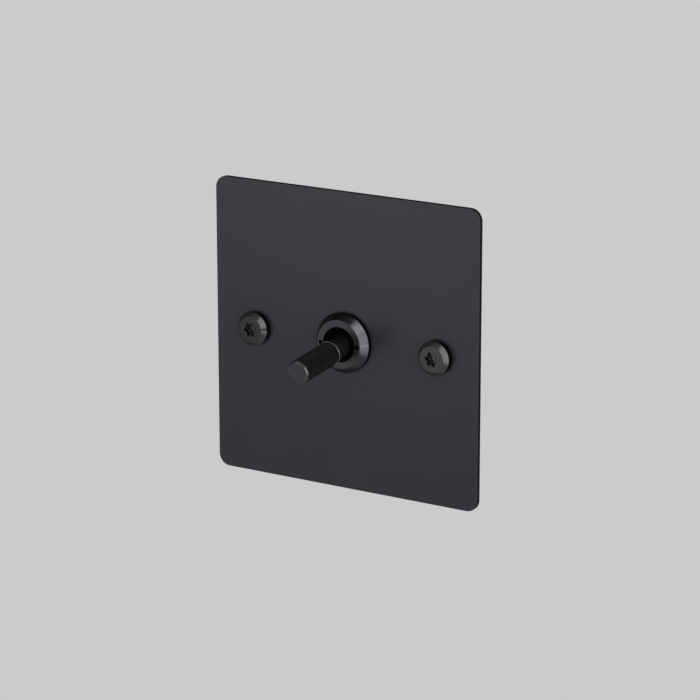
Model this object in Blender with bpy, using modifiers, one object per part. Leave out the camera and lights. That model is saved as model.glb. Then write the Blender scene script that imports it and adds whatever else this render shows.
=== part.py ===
"""A one-gang toggle (dolly) light switch: flat square wall plate with two fixing screws, a turned bezel nut and a
fluted lever in front, and behind it the complete two-way switch module with its over-centre contact and terminals.

World axes: +X to the right, +Z up, +Y into the wall. The origin is the centre of the wall plate's back face, so the
plate's front looks along -Y. Rest pose: the lever is in its lower position.
"""

import math

import bmesh
import bpy
from mathutils import Matrix

MM = 0.001

# wall plate
PLATE_SIDE = 87.0 * MM
PLATE_THICK = 1.5 * MM
PLATE_CORNER = 3.5 * MM
PLATE_EDGE = 0.2 * MM
FIXING_X = 30.15 * MM  # half of the standard 60.3 mm between the fixing screws
FIXING_HOLE_R = 2.0 * MM
BUSH_HOLE_R = 6.2 * MM

# bezel nut, heights above its own seat
SEAT_GAP = 0.05 * MM
BEZEL_BASE_R = 8.85 * MM
BEZEL_WALL_R = 8.75 * MM
BEZEL_WALL_H = 1.25 * MM
BEZEL_FACE_R = 7.1 * MM
BEZEL_FACE_H = 3.35 * MM
BEZEL_BORE_R = 5.05 * MM
SPANNER_X = 6.0 * MM
SPANNER_R = 0.62 * MM

# fixing screws, heights above the underside of the head
HEAD_BASE_R = 5.1 * MM
HEAD_WALL_R = 4.92 * MM
HEAD_WALL_H = 1.8 * MM
HEAD_FACE_R = 3.75 * MM
HEAD_FACE_H = 3.1 * MM
LOBE_R = 2.25 * MM
LOBE_ROOT_R = 1.6 * MM
RECESS_DEPTH = 1.9 * MM
RECESS_PIN_R = 0.48 * MM
RECESS_PIN_H = 0.4 * MM
SCREW_M35_R = 1.7 * MM
FIXING_SHANK = 18.5 * MM

# lever, measured along its axis from the pivot, + towards the finger end
PIVOT_Y = 3.5 * MM
LEVER_TILT = math.radians(6.0)  # below the plate's normal at rest, the same above it when thrown
BALL_R = 4.0 * MM
STEM_R = 3.2 * MM
STEM_END = 13.05 * MM
SPIGOT_R = 1.5 * MM
SPIGOT_END = 21.5 * MM
COLLAR_FROM, COLLAR_TO = 13.15 * MM, 13.6 * MM
COLLAR_R = 3.62 * MM
GRIP_FROM, GRIP_TO = 13.7 * MM, 30.06 * MM
GRIP_R = 3.5 * MM
FLUTES = 32
FLUTE_DEPTH = 0.27 * MM
TAIL_R = 2.6 * MM
TAIL_END = -8.4 * MM
TAIL_BORE_R = 1.45 * MM
TAIL_BORE_TOP = -2.0 * MM
PIN_R = 1.0 * MM
PIN_HALF = 5.7 * MM
PLUNGER_R = 1.35 * MM
PLUNGER_TOP = -5.0 * MM
PLUNGER_NOSE_R = 1.0 * MM

# bush and its nuts, distances behind the wall plate's back face
BUSH_R = 6.0 * MM
BUSH_FRONT = -3.1 * MM
FLANGE_R = 7.4 * MM
FLANGE_FROM, FLANGE_TO = 3.5 * MM, 4.7 * MM
SPIGOT_HOLE_R = 5.35 * MM
FRAME_FRONT = 4.8 * MM
FRAME_THICK = 0.8 * MM

# moulded housing
BODY_HALF_X = 9.2 * MM
BODY_HALF_Z = 15.5 * MM
BODY_FRONT = 6.3 * MM
BODY_REAR = 24.0 * MM
CAVITY_HALF_X = 6.6 * MM
CAVITY_HALF_Z = 13.2 * MM
CAVITY_FLOOR = 19.5 * MM
RIB_REAR = 29.5 * MM
RIB_Z = (-14.9 * MM, -5.25 * MM, 5.25 * MM, 14.9 * MM)
RIB_THICK = 1.2 * MM

# contact mechanism
FULCRUM_Y = 16.1 * MM
FULCRUM_R = 1.0 * MM
ROCKER_TILT = math.radians(6.0)
ROCKER_FRONT = 1.6 * MM
ROCKER_BACK = 0.6 * MM
ROCKER_HALF = 10.8 * MM
ROCKER_WIDTH = 5.2 * MM
TIP_Z = 9.0 * MM
TIP_R = 1.5 * MM
TIP_APEX = 0.45 * MM
TIP_DOME = 0.35 * MM
STRIP_THICK = 0.9 * MM
STRIP_WIDTH = 5.0 * MM
CONTACT_GAP = 0.06 * MM

# terminals on the housing's rear face
TAB_Y = BODY_REAR + 0.15 * MM + STRIP_THICK / 2
L_SCREW_Z = 9.4 * MM
COM_SCREW_X = 4.9 * MM
EARTH_Z = -27.5 * MM

TURN = math.tau


def clear_scene():
    for obj in list(bpy.data.objects):
        bpy.data.objects.remove(obj, do_unlink=True)
    for coll in list(bpy.data.collections):
        bpy.data.collections.remove(coll)


clear_scene()
PARTS = bpy.data.collections.new("toggle_switch")
CUTTERS = bpy.data.collections.new("cutters")
CUTTERS.hide_render = True
bpy.context.scene.collection.children.link(PARTS)
bpy.context.scene.collection.children.link(CUTTERS)

FACING_FRONT = (math.pi / 2, 0, 0)  # local +Z turned to world -Y, local +Y to world +Z
FACING_REAR = (-math.pi / 2, 0, 0)  # local +Z turned to world +Y, local +Y to world -Z


def material(name, colour, roughness, metallic):
    mat = bpy.data.materials.new(name)
    mat.use_nodes = True
    shader = mat.node_tree.nodes["Principled BSDF"]
    shader.inputs["Base Color"].default_value = (*colour, 1)
    shader.inputs["Roughness"].default_value = roughness
    shader.inputs["Metallic"].default_value = metallic
    mat.diffuse_color = (*colour, 1)
    return mat


FINISHES = {
    "plate_coat": ((0.042, 0.044, 0.050), 0.55, 0.0),
    "black_metal": ((0.055, 0.060, 0.060), 0.35, 1.0),
    "dark_polish": ((0.035, 0.036, 0.038), 0.22, 1.0),
    "steel": ((0.55, 0.55, 0.54), 0.38, 1.0),
    "zinc_steel": ((0.66, 0.66, 0.64), 0.33, 1.0),
    "brass": ((0.72, 0.53, 0.25), 0.30, 1.0),
    "silver": ((0.85, 0.85, 0.83), 0.25, 1.0),
    "moulding": ((0.030, 0.030, 0.032), 0.50, 0.0),
    "fibre": ((0.33, 0.17, 0.08), 0.75, 0.0),
}


def add(name, data, finish, location=(0, 0, 0), rotation=(0, 0, 0), parent=None):
    """An object in the parts collection with a material of its own, or a hidden cutter when finish is None."""
    obj = bpy.data.objects.new(name, data)
    if finish is None:
        CUTTERS.objects.link(obj)
        obj.hide_render = True
        obj.display_type = "WIRE"
    else:
        PARTS.objects.link(obj)
        data.materials.append(material(name, *FINISHES[finish]))
    obj.location = location
    obj.rotation_euler = rotation
    obj.parent = parent
    return obj


def smooth(obj, degrees=35):
    obj.data.shade_smooth()
    obj.data.set_sharp_from_angle(angle=math.radians(degrees))


def turned(name, finish, profile, steps, closed=False, **place):
    """A profile of (radius, height) spun about local Z. It runs down the outer side, from top to bottom."""
    mesh = bpy.data.meshes.new(name)
    links = [(i, i + 1) for i in range(len(profile) - 1)]
    if closed:
        links.append((len(profile) - 1, 0))
    mesh.from_pydata([(r, 0, h) for r, h in profile], links, [])
    obj = add(name, mesh, finish, **place)
    spin = obj.modifiers.new("Turn", "SCREW")
    spin.axis = "Z"
    spin.angle = TURN
    spin.steps = spin.render_steps = steps
    spin.use_merge_vertices = True
    spin.merge_threshold = 1e-6
    spin.use_smooth_shade = True
    return obj


def box(name, finish, low, high, **place):
    mesh = bpy.data.meshes.new(name)
    bm = bmesh.new()
    size = [b - a for a, b in zip(low, high)]
    middle = [(a + b) / 2 for a, b in zip(low, high)]
    bmesh.ops.create_cube(
        bm, size=1, matrix=Matrix.Translation(middle) @ Matrix.Diagonal((*size, 1))
    )
    bm.to_mesh(mesh)
    bm.free()
    return add(name, mesh, finish, **place)


def rod(name, finish, radius, low, high, sides=32, **place):
    """A cylinder along local Z from low to high."""
    mesh = bpy.data.meshes.new(name)
    bm = bmesh.new()
    bmesh.ops.create_cone(
        bm,
        cap_ends=True,
        segments=sides,
        radius1=radius,
        radius2=radius,
        depth=high - low,
        matrix=Matrix.Translation((0, 0, (low + high) / 2)),
    )
    bm.to_mesh(mesh)
    bm.free()
    return add(name, mesh, finish, **place)


def meshed(curve, name):
    """The curve's evaluated shape as a mesh with its caps welded."""
    guide = bpy.data.objects.new(name + "_outline", curve)
    CUTTERS.objects.link(guide)
    bpy.context.view_layer.update()
    graph = bpy.context.evaluated_depsgraph_get()
    mesh = bpy.data.meshes.new_from_object(guide.evaluated_get(graph))
    bm = bmesh.new()
    bm.from_mesh(mesh)
    bmesh.ops.remove_doubles(bm, verts=bm.verts, dist=1e-7)
    bmesh.ops.recalc_face_normals(bm, faces=bm.faces)
    bm.to_mesh(mesh)
    bm.free()
    mesh.name = name
    bpy.data.objects.remove(guide)
    return mesh


def outline(name, finish, loops, low, high, edge=0.0, **place):
    """Closed loops of (x, y), the outside first and then holes, filled and given thickness from low to high."""
    curve = bpy.data.curves.new(name, "CURVE")
    curve.dimensions = "2D"
    curve.fill_mode = "BOTH"
    curve.extrude = (high - low) / 2 - edge
    curve.bevel_depth = edge
    curve.bevel_resolution = 0
    curve.offset = -edge
    for number, loop in enumerate(loops):
        points = loop if number == 0 else loop[::-1]
        spline = curve.splines.new("POLY")
        spline.points.add(len(points) - 1)
        for point, (x, y) in zip(spline.points, points):
            point.co = (x, y, 0, 1)
        spline.use_cyclic_u = True
    mesh = meshed(curve, name)
    mesh.transform(Matrix.Translation((0, 0, (low + high) / 2)))
    return add(name, mesh, finish, **place)


def circle(radius, points=48, centre=(0, 0)):
    return [
        (
            centre[0] + radius * math.cos(TURN * i / points),
            centre[1] + radius * math.sin(TURN * i / points),
        )
        for i in range(points)
    ]


def rounded_rectangle(half_x, half_y, radius, per_corner=8):
    loop = []
    for corner, (sx, sy) in enumerate(((1, 1), (-1, 1), (-1, -1), (1, -1))):
        for i in range(per_corner + 1):
            a = TURN / 4 * (corner + i / per_corner)
            loop.append(
                (
                    sx * (half_x - radius) + radius * math.cos(a),
                    sy * (half_y - radius) + radius * math.sin(a),
                )
            )
    return loop


def waved(root, crest, count, per_wave=8):
    """A closed loop whose radius swings between root and crest."""
    total = count * per_wave
    middle, swing = (root + crest) / 2, (crest - root) / 2
    return [
        (
            (middle + swing * math.cos(count * TURN * i / total))
            * math.cos(TURN * i / total),
            (middle + swing * math.cos(count * TURN * i / total))
            * math.sin(TURN * i / total),
        )
        for i in range(total)
    ]


def fluted(root, crest, count):
    """A closed loop of flat lands with a V groove between each two."""
    loop = []
    for i in range(count):
        for part, radius in ((0.0, crest), (0.45, crest), (0.725, root)):
            a = TURN * (i + part) / count
            loop.append((radius * math.cos(a), radius * math.sin(a)))
    return loop


def strip_outline(path, thickness, bend, per_bend=4):
    """The outline of a strip of sheet metal seen edge on: path is its middle line, each corner bent to the radius."""
    line = [path[0]]
    for before, corner, after in zip(path, path[1:], path[2:]):
        a = math.atan2(before[1] - corner[1], before[0] - corner[0])
        b = math.atan2(after[1] - corner[1], after[0] - corner[0])
        turn = (b - a + math.pi) % TURN - math.pi
        reach = bend / math.tan(abs(turn) / 2)
        away = bend / math.sin(abs(turn) / 2)
        mid = a + turn / 2
        centre = (corner[0] + away * math.cos(mid), corner[1] + away * math.sin(mid))
        first = (corner[0] + reach * math.cos(a), corner[1] + reach * math.sin(a))
        start = math.atan2(first[1] - centre[1], first[0] - centre[0])
        sweep = (math.pi - abs(turn)) * (-1 if turn > 0 else 1)
        for i in range(per_bend + 1):
            angle = start + sweep * i / per_bend
            line.append(
                (centre[0] + bend * math.cos(angle), centre[1] + bend * math.sin(angle))
            )
    line.append(path[-1])
    left, right = [], []
    for i, (x, y) in enumerate(line):
        x0, y0 = line[max(i - 1, 0)]
        x1, y1 = line[min(i + 1, len(line) - 1)]
        length = math.hypot(x1 - x0, y1 - y0)
        nx, ny = -(y1 - y0) / length, (x1 - x0) / length
        left.append((x + nx * thickness / 2, y + ny * thickness / 2))
        right.append((x - nx * thickness / 2, y - ny * thickness / 2))
    return right + left[::-1]


def cut(obj, cutter, operation="DIFFERENCE"):
    step = obj.modifiers.new(operation.title() + "_" + cutter.name, "BOOLEAN")
    step.operation = operation
    step.solver = "EXACT"
    step.object = cutter


def bevelled(obj, width, segments=2, angle=40):
    edge = obj.modifiers.new("Edges", "BEVEL")
    edge.width = width
    edge.segments = segments
    edge.limit_method = "ANGLE"
    edge.angle_limit = math.radians(angle)


def empty(name, location, tilt):
    obj = bpy.data.objects.new(name, None)
    PARTS.objects.link(obj)
    obj.empty_display_size = 0.005
    obj.location = location
    obj.rotation_euler = (tilt, 0, 0)
    return obj


# ---------------------------------------------------------------- wall plate
half = PLATE_SIDE / 2
front_plate = outline(
    "front_plate",
    "plate_coat",
    [
        rounded_rectangle(half, half, PLATE_CORNER),
        circle(BUSH_HOLE_R, 48),
        circle(FIXING_HOLE_R, 24, (-FIXING_X, 0)),
        circle(FIXING_HOLE_R, 24, (FIXING_X, 0)),
    ],
    0,
    PLATE_THICK,
    PLATE_EDGE,
    rotation=FACING_FRONT,
)
smooth(front_plate)

# ---------------------------------------------------------------- bezel nut
seat = (0, -PLATE_THICK - SEAT_GAP, 0)
bezel = turned(
    "bezel_ring_nut",
    "black_metal",
    [
        (BEZEL_FACE_R, BEZEL_FACE_H),
        (BEZEL_WALL_R, BEZEL_WALL_H),
        (BEZEL_BASE_R, 0.15 * MM),
        (BEZEL_BASE_R - 0.15 * MM, 0),
        (BUSH_R + 0.15 * MM, 0),
        (BUSH_R + 0.15 * MM, 1.75 * MM),
        (BEZEL_BORE_R, 1.75 * MM),
        (BEZEL_BORE_R, BEZEL_FACE_H - 0.2 * MM),
        (BEZEL_BORE_R + 0.2 * MM, BEZEL_FACE_H),
    ],
    48,
    closed=True,
    location=seat,
    rotation=FACING_FRONT,
)
for side, x in (("left", -SPANNER_X), ("right", SPANNER_X)):
    cut(
        bezel,
        rod(
            "spanner_hole_" + side,
            None,
            SPANNER_R,
            BEZEL_FACE_H - 1.1 * MM,
            BEZEL_FACE_H + 1 * MM,
            16,
            location=(x, seat[1], 0),
            rotation=FACING_FRONT,
        ),
    )

# ---------------------------------------------------------------- fixing screws
for side, x, turn in (("left", -FIXING_X, 4), ("right", FIXING_X, -5)):
    place = {"location": (x, seat[1], 0), "rotation": FACING_FRONT}
    screw = turned(
        "fixing_screw_" + side,
        "black_metal",
        [
            (0, HEAD_FACE_H),
            (HEAD_FACE_R, HEAD_FACE_H),
            (HEAD_WALL_R, HEAD_WALL_H),
            (HEAD_BASE_R, 0.1 * MM),
            (HEAD_BASE_R - 0.1 * MM, 0),
            (SCREW_M35_R, 0),
            (SCREW_M35_R, -FIXING_SHANK + 0.5 * MM),
            (1.2 * MM, -FIXING_SHANK),
            (0, -FIXING_SHANK),
        ],
        32,
        **place,
    )
    recess = outline(
        "recess_" + side,
        None,
        [waved(LOBE_ROOT_R, LOBE_R, 6, 8), circle(RECESS_PIN_R, 16)],
        HEAD_FACE_H - RECESS_DEPTH,
        HEAD_FACE_H + 1 * MM,
        **place,
    )
    recess.rotation_euler.rotate_axis("Z", math.radians(turn))
    cut(screw, recess)
    cut(
        screw,
        rod(
            "recess_pin_top_" + side,
            None,
            RECESS_PIN_R + 0.2 * MM,
            HEAD_FACE_H - RECESS_DEPTH + RECESS_PIN_H,
            HEAD_FACE_H + 1 * MM,
            16,
            **place,
        ),
    )

# ---------------------------------------------------------------- lever, on its pivot
lever_axis = empty("lever_axis", (0, PIVOT_Y, 0), math.pi / 2 + LEVER_TILT)
ball_top = math.acos(STEM_R / BALL_R)
ball_low = -math.acos(TAIL_R / BALL_R)
ball = [
    (
        BALL_R * math.cos(ball_top + (ball_low - ball_top) * i / 8),
        BALL_R * math.sin(ball_top + (ball_low - ball_top) * i / 8),
    )
    for i in range(9)
]
lever_stem = turned(
    "lever_stem",
    "dark_polish",
    [
        (0, SPIGOT_END),
        (SPIGOT_R - 0.3 * MM, SPIGOT_END),
        (SPIGOT_R, SPIGOT_END - 0.3 * MM),
        (SPIGOT_R, STEM_END),
        (STEM_R - 0.15 * MM, STEM_END),
        (STEM_R, STEM_END - 0.15 * MM),
        *ball,
        (TAIL_R, TAIL_END + 0.2 * MM),
        (TAIL_R - 0.2 * MM, TAIL_END),
        (TAIL_BORE_R, TAIL_END),
        (TAIL_BORE_R, TAIL_BORE_TOP),
        (0, TAIL_BORE_TOP),
    ],
    28,
    parent=lever_axis,
)
cut(
    lever_stem,
    rod(
        "pin_hole",
        None,
        PIN_R + 0.06 * MM,
        -8 * MM,
        8 * MM,
        24,
        location=(0, PIVOT_Y, 0),
        rotation=(0, math.pi / 2, 0),
    ),
)
grip_collar = turned(
    "grip_collar",
    "dark_polish",
    [
        (COLLAR_R - 0.1 * MM, COLLAR_TO),
        (COLLAR_R, COLLAR_TO - 0.12 * MM),
        (COLLAR_R, COLLAR_FROM + 0.12 * MM),
        (COLLAR_R - 0.1 * MM, COLLAR_FROM),
        (SPIGOT_R + 0.1 * MM, COLLAR_FROM),
        (SPIGOT_R + 0.1 * MM, COLLAR_TO),
    ],
    32,
    closed=True,
    parent=lever_axis,
)
grip = turned(
    "grip_sleeve",
    "black_metal",
    [
        (0, GRIP_TO),
        (2.95 * MM, GRIP_TO),
        (GRIP_R, GRIP_TO - 0.5 * MM),
        (GRIP_R, GRIP_FROM + 0.2 * MM),
        (GRIP_R - 0.2 * MM, GRIP_FROM),
        (SPIGOT_R + 0.1 * MM, GRIP_FROM),
        (SPIGOT_R + 0.1 * MM, SPIGOT_END + 0.5 * MM),
        (0, SPIGOT_END + 0.5 * MM),
    ],
    FLUTES,
    parent=lever_axis,
)
cut(
    grip,
    outline(
        "flute_cutter",
        None,
        [circle(GRIP_R + 1 * MM, 32), fluted(GRIP_R - FLUTE_DEPTH, GRIP_R + 0.05 * MM, FLUTES)],
        GRIP_FROM - 1 * MM,
        GRIP_TO + 1 * MM,
        parent=lever_axis,
    ),
)
pivot_pin = rod(
    "pivot_pin",
    "steel",
    PIN_R,
    -PIN_HALF,
    PIN_HALF,
    24,
    location=(0, PIVOT_Y, 0),
    rotation=(0, math.pi / 2, 0),
)
bevelled(pivot_pin, 0.15 * MM, 1)
smooth(pivot_pin)

# spring and plunger in the lever's tail; the plunger's nose just clears the rocker when the lever stands straight
nose = -(FULCRUM_Y - ROCKER_FRONT - 0.1 * MM - PIVOT_Y)
nose_curve = [
    (
        PLUNGER_NOSE_R * math.cos(TURN / 4 * i / 5),
        nose + PLUNGER_NOSE_R - PLUNGER_NOSE_R * math.sin(TURN / 4 * i / 5),
    )
    for i in range(6)
]
plunger = turned(
    "plunger",
    "brass",
    [
        (0, PLUNGER_TOP),
        (PLUNGER_R - 0.15 * MM, PLUNGER_TOP),
        (PLUNGER_R, PLUNGER_TOP - 0.15 * MM),
        (PLUNGER_R, TAIL_END - 0.9 * MM),
        *nose_curve[:-1],
        (0, nose),
    ],
    18,
    parent=lever_axis,
)
coil = bpy.data.curves.new("plunger_spring", "CURVE")
coil.dimensions = "3D"
coil.fill_mode = "FULL"
coil.bevel_depth = 0.17 * MM
coil.bevel_resolution = 1
coil.use_fill_caps = True
coil_turns, coil_points = 4.5, 54
thread = coil.splines.new("POLY")
thread.points.add(coil_points - 1)
for i, point in enumerate(thread.points):
    a = coil_turns * TURN * i / (coil_points - 1)
    z = PLUNGER_TOP + 0.25 * MM + (TAIL_BORE_TOP - PLUNGER_TOP - 0.5 * MM) * i / (
        coil_points - 1
    )
    point.co = (1.1 * MM * math.cos(a), 1.1 * MM * math.sin(a), z, 1)
add("plunger_spring", meshed(coil, "plunger_spring"), "steel", parent=lever_axis)

# ---------------------------------------------------------------- threaded bush and what holds it
bush = turned(
    "threaded_bush",
    "black_metal",
    [
        (BUSH_R - 0.3 * MM, -BUSH_FRONT),
        (BUSH_R, -BUSH_FRONT - 0.3 * MM),
        (BUSH_R, -FLANGE_FROM),
        (FLANGE_R, -FLANGE_FROM),
        (FLANGE_R, -FLANGE_TO),
        (SPIGOT_HOLE_R - 0.15 * MM, -FLANGE_TO),
        (SPIGOT_HOLE_R - 0.15 * MM, -5.7 * MM),
        (5.9 * MM, -5.75 * MM),
        (5.7 * MM, -6.15 * MM),
        (BALL_R + 0.25 * MM, -6.15 * MM),
        (BALL_R + 0.25 * MM, -0.8 * MM),
        (4.7 * MM, -0.3 * MM),
        (4.7 * MM, -BUSH_FRONT - 0.25 * MM),
        (4.95 * MM, -BUSH_FRONT),
    ],
    36,
    closed=True,
    rotation=FACING_FRONT,
)
cut(
    bush,
    rod(
        "bush_pin_hole",
        None,
        PIN_R + 0.05 * MM,
        -9 * MM,
        9 * MM,
        24,
        location=(0, PIVOT_Y, 0),
        rotation=(0, math.pi / 2, 0),
    ),
)
cut(
    bush,
    box(
        "keyway",
        None,
        (-0.8 * MM, BUSH_FRONT - 1 * MM, BUSH_R - 0.75 * MM),
        (0.8 * MM, FLANGE_FROM - 0.3 * MM, BUSH_R + 1 * MM),
    ),
)
outline(
    "lock_washer",
    "steel",
    [circle(8.6 * MM, 40), waved(BUSH_R + 0.2 * MM, BUSH_R + 0.9 * MM, 14, 4)],
    0,
    0.7 * MM,
    location=(0, 0.85 * MM, 0),
    rotation=FACING_FRONT,
)
outline(
    "rear_lock_nut",
    "zinc_steel",
    [circle(7.5 * MM / math.cos(TURN / 12), 6), circle(BUSH_R + 0.15 * MM, 32)],
    0,
    2.2 * MM,
    0.15 * MM,
    location=(0, 3.15 * MM, 0),
    rotation=FACING_FRONT,
)

# ---------------------------------------------------------------- steel cradle over the housing
leg_x = BODY_HALF_X + 0.15 * MM + FRAME_THICK / 2
lug_y = 18.4 * MM
cradle = outline(
    "switch_cradle",
    "steel",
    [
        strip_outline(
            [
                (-leg_x + 1.15 * MM, -lug_y),
                (-leg_x, -lug_y),
                (-leg_x, -FRAME_FRONT - FRAME_THICK / 2),
                (leg_x, -FRAME_FRONT - FRAME_THICK / 2),
                (leg_x, -lug_y),
                (leg_x - 1.15 * MM, -lug_y),
            ],
            FRAME_THICK,
            0.55 * MM,
        )
    ],
    -BODY_HALF_Z,
    BODY_HALF_Z,
)
# the outline lies in X and -Y, so it is mirrored over to +Y by half a turn about X
cradle.rotation_euler = (math.pi, 0, 0)
cut(
    cradle,
    rod(
        "cradle_hole",
        None,
        SPIGOT_HOLE_R,
        -1 * MM,
        3 * MM,
        40,
        location=(0, FRAME_FRONT, 0),
        rotation=FACING_REAR,
    ),
)
for side, sign in (("upper", 1), ("lower", -1)):
    low, high = sorted((sign * 7 * MM, sign * 20 * MM))
    cut(
        cradle,
        box(
            "leg_gap_" + side,
            None,
            (-20 * MM, FRAME_FRONT + 2.2 * MM, low),
            (20 * MM, 25 * MM, high),
        ),
    )
    low, high = sorted((sign * 3 * MM, sign * 20 * MM))
    cut(
        cradle,
        box(
            "lug_gap_" + side,
            None,
            (-20 * MM, lug_y - 1.4 * MM, low),
            (20 * MM, 25 * MM, high),
        ),
    )
outline(
    "insulator_plate",
    "fibre",
    [rounded_rectangle(8.9 * MM, 15.2 * MM, 1 * MM, 3), circle(6.2 * MM, 32)],
    0,
    0.4 * MM,
    location=(0, 6.15 * MM, 0),
    rotation=FACING_FRONT,
)

# ---------------------------------------------------------------- moulded housing
housing = box(
    "switch_housing",
    "moulding",
    (-BODY_HALF_X, BODY_FRONT, -BODY_HALF_Z),
    (BODY_HALF_X, RIB_REAR, BODY_HALF_Z),
)
bevelled(housing, 0.4 * MM, 2)
cut(
    housing,
    box(
        "cavity",
        None,
        (-CAVITY_HALF_X, BODY_FRONT - 1 * MM, -CAVITY_HALF_Z),
        (CAVITY_HALF_X, CAVITY_FLOOR, CAVITY_HALF_Z),
    ),
)
for number in range(len(RIB_Z) - 1):
    cut(
        housing,
        box(
            f"bay_{number}",
            None,
            (-20 * MM, BODY_REAR, RIB_Z[number] + RIB_THICK / 2),
            (20 * MM, RIB_REAR + 1 * MM, RIB_Z[number + 1] - RIB_THICK / 2),
        ),
    )
for side, sign in (("left", -1), ("right", 1)):
    low, high = sorted((sign * (BODY_HALF_X - 0.85 * MM), sign * (BODY_HALF_X + 1 * MM)))
    cut(
        housing,
        box(
            "lug_pocket_" + side,
            None,
            (low, lug_y - 0.7 * MM, -3.4 * MM),
            (high, lug_y + 0.7 * MM, 3.4 * MM),
        ),
    )
strip_slot_z = 12.3 * MM
for end, sign in (("l1", 1), ("l2", -1)):
    low, high = sorted((sign * (strip_slot_z - 0.6 * MM), sign * (strip_slot_z + 0.6 * MM)))
    cut(
        housing,
        box(
            "slot_" + end,
            None,
            (-STRIP_WIDTH / 2 - 0.2 * MM, CAVITY_FLOOR - 1 * MM, low),
            (STRIP_WIDTH / 2 + 0.2 * MM, BODY_REAR + 1 * MM, high),
        ),
    )
cut(
    housing,
    box(
        "slot_com",
        None,
        (-STRIP_WIDTH / 2 - 0.2 * MM, CAVITY_FLOOR - 1 * MM, -FULCRUM_R - 0.15 * MM),
        (STRIP_WIDTH / 2 + 0.2 * MM, BODY_REAR + 1 * MM, FULCRUM_R + 0.15 * MM),
    ),
)
SCREW_PLACES = {
    "com": (COM_SCREW_X, 0),
    "l1": (0, L_SCREW_Z),
    "l2": (0, -L_SCREW_Z),
}
for end, (x, z) in SCREW_PLACES.items():
    cut(
        housing,
        rod(
            "screw_well_" + end,
            None,
            1.95 * MM,
            -3.1 * MM,
            1 * MM,
            20,
            location=(x, BODY_REAR, z),
            rotation=FACING_REAR,
        ),
    )

# ---------------------------------------------------------------- contacts and terminals
dome = (TIP_R**2 + TIP_DOME**2) / (2 * TIP_DOME)
tip_reach = (
    (TIP_APEX - dome) * math.cos(ROCKER_TILT) + TIP_Z * math.sin(ROCKER_TILT) + dome
)
fixed_front = FULCRUM_Y + tip_reach + CONTACT_GAP
leg_y = CAVITY_FLOOR - 0.2 * MM - STRIP_THICK / 2
for end, sign in (("l1", 1), ("l2", -1)):
    # seen along X the strip hooks through the housing's floor: inside leg, web, rear tab
    terminal = outline(
        end + "_terminal",
        "brass",
        [
            [
                (y, sign * z)
                for y, z in strip_outline(
                    [
                        (leg_y, 6.9 * MM),
                        (leg_y, strip_slot_z),
                        (TAB_Y, strip_slot_z),
                        (TAB_Y, 6.1 * MM),
                    ],
                    STRIP_THICK,
                    0.5 * MM,
                )
            ]
        ],
        -STRIP_WIDTH / 2,
        STRIP_WIDTH / 2,
        rotation=(math.pi / 2, 0, math.pi / 2),
    )
    cut(
        terminal,
        rod(
            "tapping_" + end,
            None,
            SCREW_M35_R + 0.12 * MM,
            -1.5 * MM,
            3 * MM,
            20,
            location=(0, BODY_REAR, sign * L_SCREW_Z),
            rotation=FACING_REAR,
        ),
    )
    turned(
        "fixed_contact_" + end,
        "silver",
        [
            (0, 0),
            (1.5 * MM, 0),
            (1.7 * MM, -0.2 * MM),
            (1.7 * MM, fixed_front - leg_y + STRIP_THICK / 2 + 0.05 * MM),
            (0, fixed_front - leg_y + STRIP_THICK / 2 + 0.05 * MM),
        ],
        24,
        location=(0, fixed_front, sign * TIP_Z),
        rotation=FACING_FRONT,
    )

com_terminal = box(
    "com_terminal",
    "brass",
    (-STRIP_WIDTH / 2, FULCRUM_Y, -FULCRUM_R),
    (STRIP_WIDTH / 2, TAB_Y, FULCRUM_R),
)
cut(
    com_terminal,
    rod(
        "fulcrum_round",
        None,
        FULCRUM_R,
        -STRIP_WIDTH / 2,
        STRIP_WIDTH / 2,
        24,
        location=(0, FULCRUM_Y, 0),
        rotation=(0, math.pi / 2, 0),
    ),
    "UNION",
)
cut(
    com_terminal,
    box(
        "com_tab",
        None,
        (-STRIP_WIDTH / 2 - 0.4 * MM, TAB_Y - STRIP_THICK / 2, -3.3 * MM),
        (COM_SCREW_X + 3.4 * MM, TAB_Y + STRIP_THICK / 2, 3.3 * MM),
    ),
    "UNION",
)
cut(
    com_terminal,
    rod(
        "tapping_com",
        None,
        SCREW_M35_R + 0.12 * MM,
        -1.5 * MM,
        3 * MM,
        20,
        location=(COM_SCREW_X, BODY_REAR, 0),
        rotation=FACING_REAR,
    ),
)

clamp_y = TAB_Y + STRIP_THICK / 2 + 0.1 * MM
head_y = clamp_y + 0.9 * MM + 0.1 * MM


def slotted_screw(name, finish, x, y, z, shank):
    """A cheese-head terminal screw whose head sits at y and looks along +Y."""
    place = {"location": (x, y, z), "rotation": FACING_REAR}
    screw = turned(
        name,
        finish,
        [
            (0, 1.9 * MM),
            (2.3 * MM, 1.9 * MM),
            (2.85 * MM, 1.4 * MM),
            (2.95 * MM, 0),
            (SCREW_M35_R, 0),
            (SCREW_M35_R, -shank + 0.4 * MM),
            (1.3 * MM, -shank),
            (0, -shank),
        ],
        20,
        **place,
    )
    slot = box(
        "slot_in_" + name,
        None,
        (-4 * MM, -0.45 * MM, 0.85 * MM),
        (4 * MM, 0.45 * MM, 3 * MM),
        **place,
    )
    slot.rotation_euler.rotate_axis("Z", math.radians(25))
    cut(screw, slot)
    return screw


for end, (x, z) in SCREW_PLACES.items():
    outline(
        "clamp_plate_" + end,
        "zinc_steel",
        [rounded_rectangle(3.2 * MM, 3.2 * MM, 0.5 * MM, 2), circle(SCREW_M35_R + 0.25 * MM, 20)],
        0,
        0.9 * MM,
        location=(x, clamp_y, z),
        rotation=FACING_REAR,
    )
    slotted_screw("terminal_screw_" + end, "zinc_steel", x, head_y, z, 4.9 * MM)

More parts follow.
